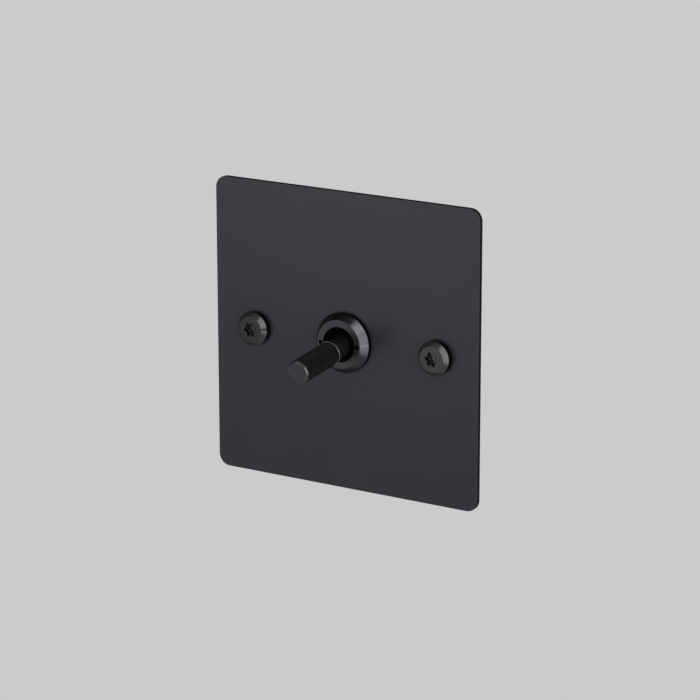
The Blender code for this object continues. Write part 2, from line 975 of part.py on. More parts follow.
# see-saw contact, tilted about the fulcrum so that its upper end is closed
rocker_axis = empty("rocker_axis", (0, FULCRUM_Y, 0), -ROCKER_TILT)
trough = FULCRUM_R + 0.12 * MM
arc = [
    (trough * math.cos(TURN / 2 * i / 10), trough * math.sin(TURN / 2 * i / 10))
    for i in range(11)
]
outline(
    "rocker_contact",
    "brass",
    [
        [
            (2.2 * MM, -0.3 * MM),
            (2.2 * MM, ROCKER_BACK),
            (ROCKER_HALF, ROCKER_BACK),
            (ROCKER_HALF, ROCKER_FRONT),
            (-ROCKER_HALF, ROCKER_FRONT),
            (-ROCKER_HALF, ROCKER_BACK),
            (-2.2 * MM, ROCKER_BACK),
            (-2.2 * MM, -0.3 * MM),
            (-trough, -0.3 * MM),
            *arc[::-1],
            (trough, -0.3 * MM),
        ]
    ],
    -ROCKER_WIDTH / 2,
    ROCKER_WIDTH / 2,
    rotation=(math.pi, -math.pi / 2, 0),
    parent=rocker_axis,
)
tip_curve = [
    (dome * math.sin(a), dome * (math.cos(a) - 1))
    for a in [math.asin(TIP_R / dome) * i / 4 for i in range(1, 5)]
]
for end, sign in (("l1", 1), ("l2", -1)):
    turned(
        "moving_contact_" + end,
        "silver",
        [(0, 0), *tip_curve, (TIP_R, -TIP_APEX - ROCKER_BACK + 0.05 * MM), (0, -TIP_APEX - ROCKER_BACK + 0.05 * MM)],
        18,
        location=(0, TIP_APEX, sign * TIP_Z),
        rotation=FACING_REAR,
        parent=rocker_axis,
    )

# ---------------------------------------------------------------- earth terminal on the plate's back
earth_block = box(
    "earth_block",
    "brass",
    (-3.5 * MM, 0.1 * MM, EARTH_Z - 3.3 * MM),
    (3.5 * MM, 8 * MM, EARTH_Z + 3.3 * MM),
)
bevelled(earth_block, 0.3 * MM, 1)
cut(
    earth_block,
    rod(
        "earth_tapping",
        None,
        SCREW_M35_R + 0.12 * MM,
        -4.5 * MM,
        1 * MM,
        20,
        location=(0, 8 * MM, EARTH_Z),
        rotation=FACING_REAR,
    ),
)
cut(
    earth_block,
    rod(
        "earth_wire_hole",
        None,
        1.75 * MM,
        -6 * MM,
        6 * MM,
        20,
        location=(0, 3.6 * MM, EARTH_Z),
        rotation=(0, math.pi / 2, 0),
    ),
)
slotted_screw("earth_screw", "brass", 0, 8.1 * MM, EARTH_Z, 3.4 * MM)

for obj in PARTS.objects:
    if obj.type == "MESH" and not any(m.type == "SCREW" for m in obj.modifiers):
        smooth(obj)
bpy.context.view_layer.update()
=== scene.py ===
"""Looks for the toggle wall switch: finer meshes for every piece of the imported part, their materials, the studio and
the camera. Lengths are in metres in the part's own frame: +X right, +Z up, +Y into the wall."""

import math

import bmesh
import bpy
import numpy as np
from mathutils import Matrix, Vector


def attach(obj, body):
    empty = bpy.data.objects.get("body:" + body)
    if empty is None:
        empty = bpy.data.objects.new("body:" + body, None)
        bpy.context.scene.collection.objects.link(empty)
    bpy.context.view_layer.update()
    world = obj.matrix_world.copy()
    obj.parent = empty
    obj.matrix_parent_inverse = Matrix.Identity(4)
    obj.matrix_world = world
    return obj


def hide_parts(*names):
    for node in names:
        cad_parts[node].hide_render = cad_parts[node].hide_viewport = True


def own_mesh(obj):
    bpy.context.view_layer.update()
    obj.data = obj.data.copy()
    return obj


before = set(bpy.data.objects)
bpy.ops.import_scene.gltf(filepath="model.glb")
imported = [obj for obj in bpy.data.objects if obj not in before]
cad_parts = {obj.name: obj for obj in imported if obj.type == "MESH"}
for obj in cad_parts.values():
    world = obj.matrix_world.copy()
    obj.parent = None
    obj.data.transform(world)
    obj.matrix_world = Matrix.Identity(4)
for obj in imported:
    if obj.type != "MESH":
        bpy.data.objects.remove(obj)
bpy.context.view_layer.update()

MM = 0.001
TURN = math.tau

# the part's dimensions, as in the CAD
PLATE_SIDE, PLATE_THICK, PLATE_CORNER = 87.0 * MM, 1.5 * MM, 3.5 * MM
FIXING_X, FIXING_HOLE_R, BUSH_HOLE_R = 30.15 * MM, 2.0 * MM, 6.2 * MM
SEAT = -PLATE_THICK - 0.05 * MM
PIVOT_Y, LEVER_TILT = 3.5 * MM, math.radians(6.0)
BODY_HALF_X, BODY_HALF_Z, BODY_FRONT, BODY_REAR = 9.2 * MM, 15.5 * MM, 6.3 * MM, 24.0 * MM
CAVITY_HALF_X, CAVITY_HALF_Z, CAVITY_FLOOR = 6.6 * MM, 13.2 * MM, 19.5 * MM
RIB_REAR, RIB_THICK = 29.5 * MM, 1.2 * MM
RIB_Z = (-14.9 * MM, -5.25 * MM, 5.25 * MM, 14.9 * MM)
FULCRUM_Y, FULCRUM_R, ROCKER_TILT = 16.1 * MM, 1.0 * MM, math.radians(6.0)
STRIP_THICK, STRIP_WIDTH, SLOT_Z = 0.9 * MM, 5.0 * MM, 12.3 * MM
TAB_Y = BODY_REAR + 0.15 * MM + STRIP_THICK / 2
L_SCREW_Z, COM_SCREW_X, EARTH_Z = 9.4 * MM, 4.9 * MM, -27.5 * MM
TIP_Z, TIP_R, TIP_APEX, TIP_DOME = 9.0 * MM, 1.5 * MM, 0.45 * MM, 0.35 * MM

TO_FRONT = Matrix.Rotation(math.pi / 2, 4, "X")  # local +Z to world -Y
TO_REAR = Matrix.Rotation(-math.pi / 2, 4, "X")  # local +Z to world +Y
ACROSS = Matrix.Rotation(math.pi / 2, 4, "Y")  # local +Z to world +X
LEVER = Matrix.Translation((0, PIVOT_Y, 0)) @ Matrix.Rotation(
    math.pi / 2 + LEVER_TILT, 4, "X"
)
ROCKER = Matrix.Translation((0, FULCRUM_Y, 0)) @ Matrix.Rotation(-ROCKER_TILT, 4, "X")


def at(x, y, z, turn=None):
    place = Matrix.Translation((x, y, z))
    return place @ turn if turn is not None else place


# ------------------------------------------------------------------ node helpers
class Nodes:
    """Short forms for the few shader nodes used here."""

    def __init__(self, tree):
        self.tree = tree

    def new(self, kind, **settings):
        node = self.tree.nodes.new(kind)
        for key, value in settings.items():
            setattr(node, key, value)
        return node

    def feed(self, node, name, value):
        socket = node.inputs[name]
        if isinstance(value, bpy.types.NodeSocket):
            self.tree.links.new(value, socket)
        else:
            socket.default_value = value

    def math(self, operation, *values, clamp=False):
        node = self.new("ShaderNodeMath", operation=operation, use_clamp=clamp)
        for i, value in enumerate(values):
            self.feed(node, i, value)
        return node.outputs[0]

    def vector(self, operation, *values):
        node = self.new("ShaderNodeVectorMath", operation=operation)
        for i, value in enumerate(values):
            self.feed(node, i, value)
        return node.outputs["Value" if operation in ("DOT_PRODUCT", "LENGTH") else "Vector"]

    def ramp(self, value, low, high, to_low=0.0, to_high=1.0, smooth=False):
        node = self.new(
            "ShaderNodeMapRange",
            interpolation_type="SMOOTHSTEP" if smooth else "LINEAR",
            clamp=True,
        )
        for name, v in (
            ("Value", value),
            ("From Min", low),
            ("From Max", high),
            ("To Min", to_low),
            ("To Max", to_high),
        ):
            self.feed(node, name, v)
        return node.outputs["Result"]

    def mix(self, factor, a, b):
        node = self.new("ShaderNodeMix", data_type="RGBA")
        self.feed(node, 0, factor)
        self.feed(node, 6, a if isinstance(a, bpy.types.NodeSocket) else (*a, 1))
        self.feed(node, 7, b if isinstance(b, bpy.types.NodeSocket) else (*b, 1))
        return node.outputs[2]

    def noise(self, vector, scale, detail=3.0, roughness=0.5):
        node = self.new("ShaderNodeTexNoise", noise_dimensions="3D")
        self.feed(node, "Vector", vector)
        self.feed(node, "Scale", scale)
        self.feed(node, "Detail", detail)
        self.feed(node, "Roughness", roughness)
        return node.outputs["Fac"]

    def bump(self, height, distance, strength, normal=None):
        node = self.new("ShaderNodeBump")
        self.feed(node, "Height", height)
        self.feed(node, "Distance", distance)
        self.feed(node, "Strength", strength)
        if normal is not None:
            self.feed(node, "Normal", normal)
        return node.outputs["Normal"]


def fresh(name):
    mat = bpy.data.materials.new(name)
    mat.use_nodes = True
    mat.node_tree.nodes.clear()
    n = Nodes(mat.node_tree)
    shader = n.new("ShaderNodeBsdfPrincipled")
    out = n.new("ShaderNodeOutputMaterial")
    n.tree.links.new(shader.outputs[0], out.inputs[0])
    return mat, n, shader


def coat(name, colour, variation, roughness, specular, grain, peel):
    """A sprayed and baked coat: fine grain over a faint orange peel, with slow changes of tone."""
    mat, n, shader = fresh(name)
    here = n.new("ShaderNodeTexCoord").outputs["Object"]
    slow = n.noise(here, 45.0, 2.0)
    fine = n.noise(here, 5200.0, 2.0, 0.6)
    waves = n.noise(here, 900.0, 1.0)
    tone = n.math("ADD", n.math("MULTIPLY", slow, 0.6), n.math("MULTIPLY", fine, 0.4))
    light = tuple(min(1, c * (1 + variation)) for c in colour)
    dark = tuple(c * (1 - variation) for c in colour)
    n.feed(shader, "Base Color", n.mix(n.ramp(tone, 0.35, 0.65), dark, light))
    n.feed(
        shader,
        "Roughness",
        n.ramp(n.math("ADD", slow, n.math("MULTIPLY", fine, 0.5)), 0.5, 1.0, roughness - 0.035, roughness + 0.035),
    )
    shader.inputs["Specular IOR Level"].default_value = specular
    first = n.bump(waves, 0.02 * MM, peel)
    n.feed(shader, "Normal", n.bump(fine, 0.006 * MM, grain, first))
    return mat


def turned_metal(name, colour, tint, roughness, lines=0.35, wear=0.25, metallic=1.0, line_scale=9000.0, groove=None, foot=None, facing=None, pocket=None):
    """Metal from a lathe. Its axis is local Z: fine rings on faces and walls, a slow patina, brighter rubbed edges.
    Below
    the first radius of groove the colour is painted almost black as the shade in the grooves, and it is full from the
    second one out. foot is a radius and two heights:
    beyond that radius the wall below them is painted almost black as the shade at its foot. facing is two heights, an
    added roughness and a gain in tone for the end face:
    the roughness is its coarser cut, and the gain scales its tone. pocket is two radii, two heights and a gain: the
    walls of a recess between them are painted darker as shade, and the pin inside it lighter as a painted highlight."""
    mat, n, shader = fresh(name)
    here = n.new("ShaderNodeTexCoord").outputs["Object"]
    parts = n.new("ShaderNodeSeparateXYZ")
    n.feed(parts, 0, here)
    x, y, z = parts.outputs
    radius = n.math("SQRT", n.math("ADD", n.math("MULTIPLY", x, x), n.math("MULTIPLY", y, y)))
    across = n.new("ShaderNodeCombineXYZ")
    n.feed(across, 0, radius)
    n.feed(across, 1, z)
    rings = n.noise(across.outputs[0], line_scale, 3.0, 0.65)
    patina = n.noise(here, 420.0, 4.0, 0.55)
    specks = n.noise(here, 2600.0, 2.0, 0.6)
    edge = n.ramp(n.new("ShaderNodeNewGeometry").outputs["Pointiness"], 0.52, 0.60, 0.0, wear)
    body = n.mix(n.ramp(patina, 0.3, 0.7), colour, tint)
    body = n.mix(n.math("MULTIPLY", n.ramp(specks, 0.5, 0.8), 0.22), body, tuple(c * 0.6 for c in colour))
    body = n.mix(edge, body, tuple(min(1, c * 2.2 + 0.02) for c in tint))
    if groove:
        # painted shade: below the first groove radius the colour drops almost to black, standing in for the shade
        # inside the grip's grooves
        body = n.mix(n.ramp(radius, *groove, smooth=True), tuple(c * 0.05 for c in colour), body)
    if foot:
        # painted shade: beyond the foot radius and below the foot heights the wall is coloured almost black, standing
        # in for the shade where the part meets the plate
        outside_foot_shade = n.math("MAXIMUM", n.ramp(z, *foot[1:], smooth=True), n.math("LESS_THAN", radius, foot[0]))
        body = n.mix(outside_foot_shade, tuple(c * 0.08 for c in colour), body)
    if pocket:
        # painted shade: the walls of the recess are coloured darker by the pocket gain, standing in for the shade
        # inside it
        inside = n.math("MULTIPLY", n.math("GREATER_THAN", radius, pocket[0]), n.math("LESS_THAN", radius, pocket[1]))
        inside = n.math("MULTIPLY", inside, n.math("MULTIPLY", n.math("GREATER_THAN", z, pocket[2]), n.math("LESS_THAN", z, pocket[3])))
        body = n.mix(inside, body, tuple(c * pocket[4] for c in colour))
        # painted highlight: the centre pin in the recess is coloured lighter than the metal round it
        pin = n.math("MULTIPLY", n.math("LESS_THAN", radius, 0.42 * MM), n.math("GREATER_THAN", z, pocket[2]))
        body = n.mix(pin, body, tuple(c * 1.7 for c in tint))
    if facing:
        on_face = n.ramp(z, *facing[:2], smooth=True)
        body = n.mix(on_face, body, n.mix(n.ramp(patina, 0.3, 0.7), tuple(c * facing[3] for c in colour), tuple(c * facing[3] for c in tint)))
    n.feed(shader, "Base Color", body)
    dull = n.ramp(n.math("ADD", n.math("MULTIPLY", rings, 0.6), n.math("MULTIPLY", patina, 0.4)), 0.3, 0.7, roughness - 0.05, roughness + 0.05)
    if facing:
        dull = n.math("ADD", dull, n.math("MULTIPLY", on_face, facing[2]))
    n.feed(shader, "Roughness", dull)
    shader.inputs["Metallic"].default_value = metallic
    n.feed(shader, "Normal", n.bump(specks, 0.003 * MM, 0.25, n.bump(rings, 0.0025 * MM, lines)))
    return mat


def rolled_metal(name, colour, tint, roughness, along=(1.0, 14.0, 14.0)):
    """Sheet or bar stock: a drawn grain along one axis, patches of tarnish and small marks."""
    mat, n, shader = fresh(name)
    here = n.new("ShaderNodeTexCoord").outputs["Object"]
    grain = n.noise(n.vector("MULTIPLY", here, along), 900.0, 4.0, 0.6)
    patch = n.noise(here, 260.0, 4.0, 0.6)
    marks = n.noise(here, 1900.0, 2.0, 0.7)
    edge = n.ramp(n.new("ShaderNodeNewGeometry").outputs["Pointiness"], 0.52, 0.60, 0.0, 0.3)
    body = n.mix(n.ramp(patch, 0.35, 0.7), colour, tint)
    body = n.mix(n.math("MULTIPLY", n.ramp(grain, 0.4, 0.75), 0.3), body, tuple(c * 0.72 for c in colour))
    n.feed(shader, "Base Color", n.mix(edge, body, tuple(min(1, c * 1.25 + 0.05) for c in colour)))
    n.feed(shader, "Roughness", n.ramp(n.math("ADD", n.math("MULTIPLY", patch, 0.5), n.math("MULTIPLY", grain, 0.5)), 0.3, 0.7, roughness - 0.08, roughness + 0.1))
    shader.inputs["Metallic"].default_value = 1.0
    n.feed(shader, "Normal", n.bump(marks, 0.004 * MM, 0.3, n.bump(grain, 0.004 * MM, 0.45)))
    return mat


def moulded(name, colour, roughness, grain=0.4):
    """Pressed thermoset: matt skin with a fine spark texture, flow marks and lighter rubbed edges."""
    mat, n, shader = fresh(name)
    here = n.new("ShaderNodeTexCoord").outputs["Object"]
    flow = n.noise(n.vector("MULTIPLY", here, (1.0, 0.35, 1.0)), 180.0, 4.0, 0.55)
    spark = n.noise(here, 3600.0, 2.0, 0.6)
    edge = n.ramp(n.new("ShaderNodeNewGeometry").outputs["Pointiness"], 0.51, 0.58, 0.0, 0.35)
    body = n.mix(n.ramp(flow, 0.3, 0.7), tuple(c * 0.82 for c in colour), tuple(c * 1.22 for c in colour))
    n.feed(shader, "Base Color", n.mix(edge, body, tuple(c * 1.9 + 0.01 for c in colour)))
    n.feed(shader, "Roughness", n.ramp(n.math("ADD", n.math("MULTIPLY", flow, 0.5), n.math("MULTIPLY", spark, 0.5)), 0.3, 0.7, roughness - 0.07, roughness + 0.07))
    shader.inputs["Specular IOR Level"].default_value = 0.45
    n.feed(shader, "Normal", n.bump(spark, 0.012 * MM, grain))
    return mat


def fibre_sheet(name):
    mat, n, shader = fresh(name)
    here = n.new("ShaderNodeTexCoord").outputs["Object"]
    strands = n.noise(n.vector("MULTIPLY", here, (1.0, 9.0, 5.0)), 1400.0, 5.0, 0.7)
    cloud = n.noise(here, 220.0, 3.0)
    body = n.mix(n.ramp(strands, 0.35, 0.7), (0.20, 0.085, 0.035), (0.42, 0.23, 0.11))
    n.feed(shader, "Base Color", n.mix(n.math("MULTIPLY", cloud, 0.5), body, (0.26, 0.13, 0.06)))
    n.feed(shader, "Roughness", n.ramp(strands, 0.3, 0.7, 0.62, 0.85))
    n.feed(shader, "Normal", n.bump(strands, 0.02 * MM, 0.5))
    return mat


M = {
    "plate": coat("plate_coat", (0.0285, 0.0305, 0.0372), 0.035, 0.31, 0.58, 0.25, 0.10),
    "plate_rim": coat("plate_rim_coat", (0.0135, 0.0140, 0.0155), 0.06, 0.52, 0.0, 0.30, 0.10),
    # foot, pocket and groove below paint shade into these finishes: the wall at the foot, the recess walls and the
    # grip's grooves are coloured darker, and the screws' recess pin lighter as a painted highlight
    "bezel": turned_metal("bezel_black", (0.076, 0.079, 0.084), (0.088, 0.091, 0.095), 0.21, 0.30, 0.15, foot=(8.0 * MM, 1.18 * MM, 1.32 * MM), facing=(3.26 * MM, 3.34 * MM, 0.16, 1.2), pocket=(5.2 * MM, 6.8 * MM, 1.9 * MM, 3.26 * MM, 0.10)),
    "screw": turned_metal("screw_black", (0.080, 0.085, 0.078), (0.092, 0.0955, 0.0885), 0.175, 0.35, 0.12, 0.75, foot=(4.4 * MM, 1.70 * MM, 1.84 * MM), facing=(3.04 * MM, 3.09 * MM, 0.0, 0.83), pocket=(0.56 * MM, 2.4 * MM, 1.27 * MM, 2.97 * MM, 0.42)),
    "grip": turned_metal("grip_black", (0.32, 0.317, 0.307), (0.42, 0.412, 0.397), 0.20, 0.25, 0.12, 1.0, groove=(3.34 * MM, 3.475 * MM)),
    "grip_edge": turned_metal("grip_edge_bright", (0.11, 0.11, 0.115), (0.135, 0.135, 0.14), 0.18, 0.20, 0.10),
    "cap": turned_metal("grip_end_black", (0.069, 0.072, 0.078), (0.077, 0.080, 0.086), 0.30, 0.35, 0.15, 0.5),
    "stem": turned_metal("stem_black", (0.024, 0.0235, 0.022), (0.033, 0.032, 0.030), 0.34, 0.20, 0.10, 0.7),
    "bush": turned_metal("bush_black", (0.016, 0.016, 0.017), (0.024, 0.024, 0.025), 0.42, 0.35, 0.20, 0.7),
    "collar": turned_metal("collar_polished", (0.19, 0.19, 0.19), (0.24, 0.24, 0.24), 0.20, 0.20, 0.30),
    "zinc": turned_metal("zinc_plated", (0.62, 0.63, 0.64), (0.70, 0.69, 0.64), 0.30, 0.40, 0.25),
    "steel": rolled_metal("rolled_steel", (0.50, 0.50, 0.49), (0.40, 0.40, 0.40), 0.36),
    "spring": turned_metal("spring_steel", (0.45, 0.45, 0.46), (0.55, 0.55, 0.55), 0.28, 0.2, 0.1),
    "brass": rolled_metal("drawn_brass", (0.70, 0.50, 0.22), (0.56, 0.38, 0.16), 0.30),
    "brass_turned": turned_metal("turned_brass", (0.70, 0.50, 0.22), (0.60, 0.42, 0.18), 0.27, 0.4, 0.25),
    "silver": turned_metal("contact_silver", (0.80, 0.80, 0.78), (0.70, 0.69, 0.66), 0.30, 0.3, 0.2),
    "moulding": moulded("black_thermoset", (0.030, 0.030, 0.032), 0.46),
    "fibre": fibre_sheet("vulcanised_fibre"),
}
for name, edge_tint in (("grip", 0.06), ("bush", 0.3), ("stem", 0.4)):  # these don't brighten at a glancing angle
    for node in M[name].node_tree.nodes:
        if node.type == "BSDF_PRINCIPLED":
            node.inputs["Specular Tint"].default_value = (edge_tint, edge_tint, edge_tint, 1)


# ------------------------------------------------------------------ mesh helpers
def link(name, mesh, matrix, finish, body, node, sharp=28):
    obj = bpy.data.objects.new(name, mesh)
    bpy.context.scene.collection.objects.link(obj)
    obj.matrix_world = matrix
    if finish:
        mesh.materials.append(M[finish])
    if sharp is not None:
        mesh.shade_smooth()
        mesh.set_sharp_from_angle(angle=math.radians(sharp))
        for face in mesh.polygons:  # broad flats stay flat, so that their rims don't bend the shading across them
            if max(abs(c) for c in face.normal) > 0.99999:
                face.use_smooth = False
    if body:
        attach(obj, body)
        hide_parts(node)
    return obj


def value(thing, angle):
    return thing(angle) if callable(thing) else thing


def ring_mesh(name, rings, columns, closed=False):
    """A surface of rings about local Z. A ring is (radius, height), each a number or a function of the angle; radius 0
    is a pole. Rings run from the top down the outer side, then back up any bore, and closed joins the last to the first."""
    angles = [TURN * i / columns for i in range(columns)]
    bm = bmesh.new()
    made = []
    for radius, height in rings:
        if not callable(radius) and radius == 0:
            made.append([bm.verts.new((0, 0, value(height, 0)))])
        else:
            made.append(
                [
                    bm.verts.new(
                        (
                            value(radius, a) * math.cos(a),
                            value(radius, a) * math.sin(a),
                            value(height, a),
                        )
                    )
                    for a in angles
                ]
            )
    pairs = list(zip(made, made[1:]))
    if closed:
        pairs.append((made[-1], made[0]))
    for upper, lower in pairs:
        for i in range(columns):
            j = (i + 1) % columns
            if len(upper) == 1 and len(lower) == 1:
                continue
            if len(upper) == 1:
                bm.faces.new((upper[0], lower[i], lower[j]))
            elif len(lower) == 1:
                bm.faces.new((upper[i], lower[0], upper[j]))
            else:
                bm.faces.new((upper[i], lower[i], lower[j], upper[j]))
    bmesh.ops.recalc_face_normals(bm, faces=bm.faces)
    mesh = bpy.data.meshes.new(name)
    bm.to_mesh(mesh)
    bm.free()
    return mesh


def rounded(corners, closed=False, steps=4):
    """(radius, height, fillet) corners to a path of (radius, height) with each fillet drawn as an arc."""
    path = []
    count = len(corners)
    for i, (r, h, fillet) in enumerate(corners):
        if fillet <= 0 or (not closed and i in (0, count - 1)):
            path.append((r, h))
            continue
        r0, h0 = corners[i - 1][:2]
        r1, h1 = corners[(i + 1) % count][:2]
        a = Vector((r0 - r, h0 - h))
        b = Vector((r1 - r, h1 - h))
        angle = a.angle(b)
        reach = min(fillet / math.tan(angle / 2), 0.49 * a.length, 0.49 * b.length)
        size = reach * math.tan(angle / 2)
        a.normalize()
        b.normalize()
        corner = Vector((r, h))
        centre = corner + (a + b).normalized() * (size / math.sin(angle / 2))
        start, end = corner + a * reach - centre, corner + b * reach - centre
        sweep = start.angle_signed(end)
        first = math.atan2(start.y, start.x)
        for k in range(steps + 1):
            t = first - sweep * k / steps
            path.append((centre.x + size * math.cos(t), centre.y + size * math.sin(t)))
    return path


def lathe(name, corners, columns=128, closed=False, steps=4):
    return ring_mesh(name, rounded(corners, closed, steps), columns, closed)


def thread_rings(radius, top, bottom, pitch, depth, per_pitch=8):
    """Rings from top down to bottom whose radius follows a helical V thread, fading in and out at its ends."""
    rows = max(2, round((top - bottom) / pitch * per_pitch))
    rings = []
    for i in range(rows + 1):
        h = top + (bottom - top) * i / rows
        fade = min(1.0, min(top - h, h - bottom) / pitch + 0.0)

        def edge(angle, h=h, fade=fade):
            phase = (h / pitch + angle / TURN) % 1.0
            wave = abs(2 * phase - 1)
            wave = min(1.0, max(0.0, 1.25 * wave - 0.125))
            return radius - depth * fade * (1 - wave)

        rings.append((edge, h))
    return rings


def curve_mesh(name, loops, low, high, edge, resolution=3):
    """Closed loops of (x, y), the outside first and then holes, filled between low and high with rounded rims."""
    curve = bpy.data.curves.new(name, "CURVE")
    curve.dimensions = "2D"
    curve.fill_mode = "BOTH"
    curve.extrude = (high - low) / 2 - edge
    curve.bevel_depth = edge
    curve.bevel_resolution = resolution
    curve.offset = -edge
    for number, loop in enumerate(loops):
        points = loop if number == 0 else loop[::-1]
        spline = curve.splines.new("POLY")
        spline.points.add(len(points) - 1)
        for point, (x, y) in zip(spline.points, points):
            point.co = (x, y, 0, 1)
        spline.use_cyclic_u = True
    guide = bpy.data.objects.new(name + "_guide", curve)
    bpy.context.scene.collection.objects.link(guide)
    bpy.context.view_layer.update()
    graph = bpy.context.evaluated_depsgraph_get()
    mesh = bpy.data.meshes.new_from_object(guide.evaluated_get(graph))
    bpy.data.objects.remove(guide)
    bm = bmesh.new()
    bm.from_mesh(mesh)
    bmesh.ops.remove_doubles(bm, verts=bm.verts, dist=1e-7)
    bmesh.ops.recalc_face_normals(bm, faces=bm.faces)
    bm.transform(Matrix.Translation((0, 0, (low + high) / 2)))
    bm.to_mesh(mesh)
    bm.free()
    mesh.name = name
    return mesh


def circle(radius, points=96, centre=(0, 0)):
    return [
        (centre[0] + radius * math.cos(TURN * i / points), centre[1] + radius * math.sin(TURN * i / points))
        for i in range(points)
    ]


def rounded_rectangle(half_x, half_y, radius, per_corner=20):
    loop = []
    for corner, (sx, sy) in enumerate(((1, 1), (-1, 1), (-1, -1), (1, -1))):
        for i in range(per_corner + 1):
            a = TURN / 4 * (corner + i / per_corner)
            loop.append((sx * (half_x - radius) + radius * math.cos(a), sy * (half_y - radius) + radius * math.sin(a)))
    return loop


def strip_outline(path, thickness, bend, per_bend=8):
    line = [path[0]]
    for before, corner, after in zip(path, path[1:], path[2:]):
        a = math.atan2(before[1] - corner[1], before[0] - corner[0])
        b = math.atan2(after[1] - corner[1], after[0] - corner[0])
        turn = (b - a + math.pi) % TURN - math.pi
        reach, away = bend / math.tan(abs(turn) / 2), bend / math.sin(abs(turn) / 2)
        mid = a + turn / 2
        centre = (corner[0] + away * math.cos(mid), corner[1] + away * math.sin(mid))
        first = (corner[0] + reach * math.cos(a), corner[1] + reach * math.sin(a))
        start = math.atan2(first[1] - centre[1], first[0] - centre[0])
        sweep = (math.pi - abs(turn)) * (-1 if turn > 0 else 1)
        for i in range(per_bend + 1):
            angle = start + sweep * i / per_bend
            line.append((centre[0] + bend * math.cos(angle), centre[1] + bend * math.sin(angle)))
    line.append(path[-1])
    left, right = [], []
    for i, (x, y) in enumerate(line):
        x0, y0 = line[max(i - 1, 0)]
        x1, y1 = line[min(i + 1, len(line) - 1)]
        length = math.hypot(x1 - x0, y1 - y0)
        nx, ny = -(y1 - y0) / length, (x1 - x0) / length
        left.append((x + nx * thickness / 2, y + ny * thickness / 2))
        right.append((x - nx * thickness / 2, y - ny * thickness / 2))
    return right + left[::-1]


def box_mesh(name, low, high):
    mesh = bpy.data.meshes.new(name)
    bm = bmesh.new()
    size = [b - a for a, b in zip(low, high)]
    middle = [(a + b) / 2 for a, b in zip(low, high)]
    bmesh.ops.create_cube(bm, size=1, matrix=Matrix.Translation(middle) @ Matrix.Diagonal((*size, 1)))
    bm.to_mesh(mesh)
    bm.free()
    return mesh


def rod_mesh(name, radius, low, high, sides=64):
    return ring_mesh(name, [(0, high), (radius, high), (radius, low), (0, low)], sides)


def combined(name, base, others, matrix=None, edge=0.0, segments=3, angle=35, base_matrix=None):
    """The base mesh cut by or joined to the others, each (operation, mesh, matrix), with its edges bevelled, as one mesh
    in the base's own coordinates."""
    scene = bpy.context.scene.collection
    obj = bpy.data.objects.new(name, base)
    scene.objects.link(obj)
    obj.matrix_world = base_matrix if base_matrix is not None else Matrix.Identity(4)
    helpers = []
    for operation, mesh, place in others:
        helper = bpy.data.objects.new(name + "_tool", mesh)
        scene.objects.link(helper)
        helper.matrix_world = place if place is not None else Matrix.Identity(4)
        helpers.append(helper)
        step = obj.modifiers.new("Boolean", "BOOLEAN")
        step.operation = operation
        step.solver = "EXACT"
        step.object = helper
    if edge:
        weld = obj.modifiers.new("Weld", "WELD")
        weld.merge_threshold = 1e-6
        bevel = obj.modifiers.new("Edges", "BEVEL")
        bevel.width = edge
        bevel.segments = segments
        bevel.limit_method = "ANGLE"
        bevel.angle_limit = math.radians(angle)
        bevel.miter_outer = "MITER_ARC"
        bevel.harden_normals = False
    bpy.context.view_layer.update()
    graph = bpy.context.evaluated_depsgraph_get()
    mesh = bpy.data.meshes.new_from_object(obj.evaluated_get(graph))
    mesh.name = name
    bpy.data.objects.remove(obj)
    for helper in helpers:
        bpy.data.objects.remove(helper)
    mesh.materials.clear()
    return mesh


# ------------------------------------------------------------------ wall plate
half = PLATE_SIDE / 2
plate = curve_mesh(
    "wall_plate",
    [
        rounded_rectangle(half, half, PLATE_CORNER, 28),
        circle(BUSH_HOLE_R, 96),
        circle(FIXING_HOLE_R, 48, (-FIXING_X, 0)),
        circle(FIXING_HOLE_R, 48, (FIXING_X, 0)),
    ],
    0,
    PLATE_THICK,
    0.22 * MM,
    4,
)
wall_plate = link("wall_plate", plate, TO_FRONT, "plate", "base", "front_plate", 40)
wall_plate.data.materials.append(M["plate_rim"])
for face in wall_plate.data.polygons:
    if abs(face.normal.z) < 0.55:
        face.material_index = 1

# ------------------------------------------------------------------ bezel nut
f = 0.10 * MM
bezel_mesh = lathe(
    "bezel",
    [
        (7.1 * MM, 3.35 * MM, f),
        (8.75 * MM, 1.25 * MM, f),
        (8.85 * MM, 0.0, 0.12 * MM),
        (6.15 * MM, 0.0, 0.0),
        (6.15 * MM, 1.75 * MM, 0.0),
        (5.05 * MM, 1.75 * MM, 0.0),
        (5.05 * MM, 3.35 * MM, 0.16 * MM),
    ],
    192,
    closed=True,
    steps=5,
)
spanner = lathe(
    "spanner_hole",
    [(0, 5 * MM, 0), (0.62 * MM, 5 * MM, 0), (0.62 * MM, 2.35 * MM, 0), (0, 2.15 * MM, 0)],
    32,
)
bezel_mesh = combined(
    "bezel_nut",
    bezel_mesh,
    [("DIFFERENCE", spanner, at(x, 0, 0)) for x in (-6.0 * MM, 6.0 * MM)],
)
link("bezel_nut", bezel_mesh, at(0, SEAT, 0, TO_FRONT), "bezel", "base", "bezel_ring_nut", 24)


# ------------------------------------------------------------------ fixing screws
def lobed(root, crest, count=6):
    middle, swing = (root + crest) / 2, (crest - root) / 2

    def radius(angle):
        # full lobes with tighter hollows between them
        return middle + swing * math.cos(count * angle) + 0.12 * swing * math.cos(2 * count * angle) - 0.12 * swing

    return radius


def grown(radius, by):
    return lambda angle: radius(angle) + by


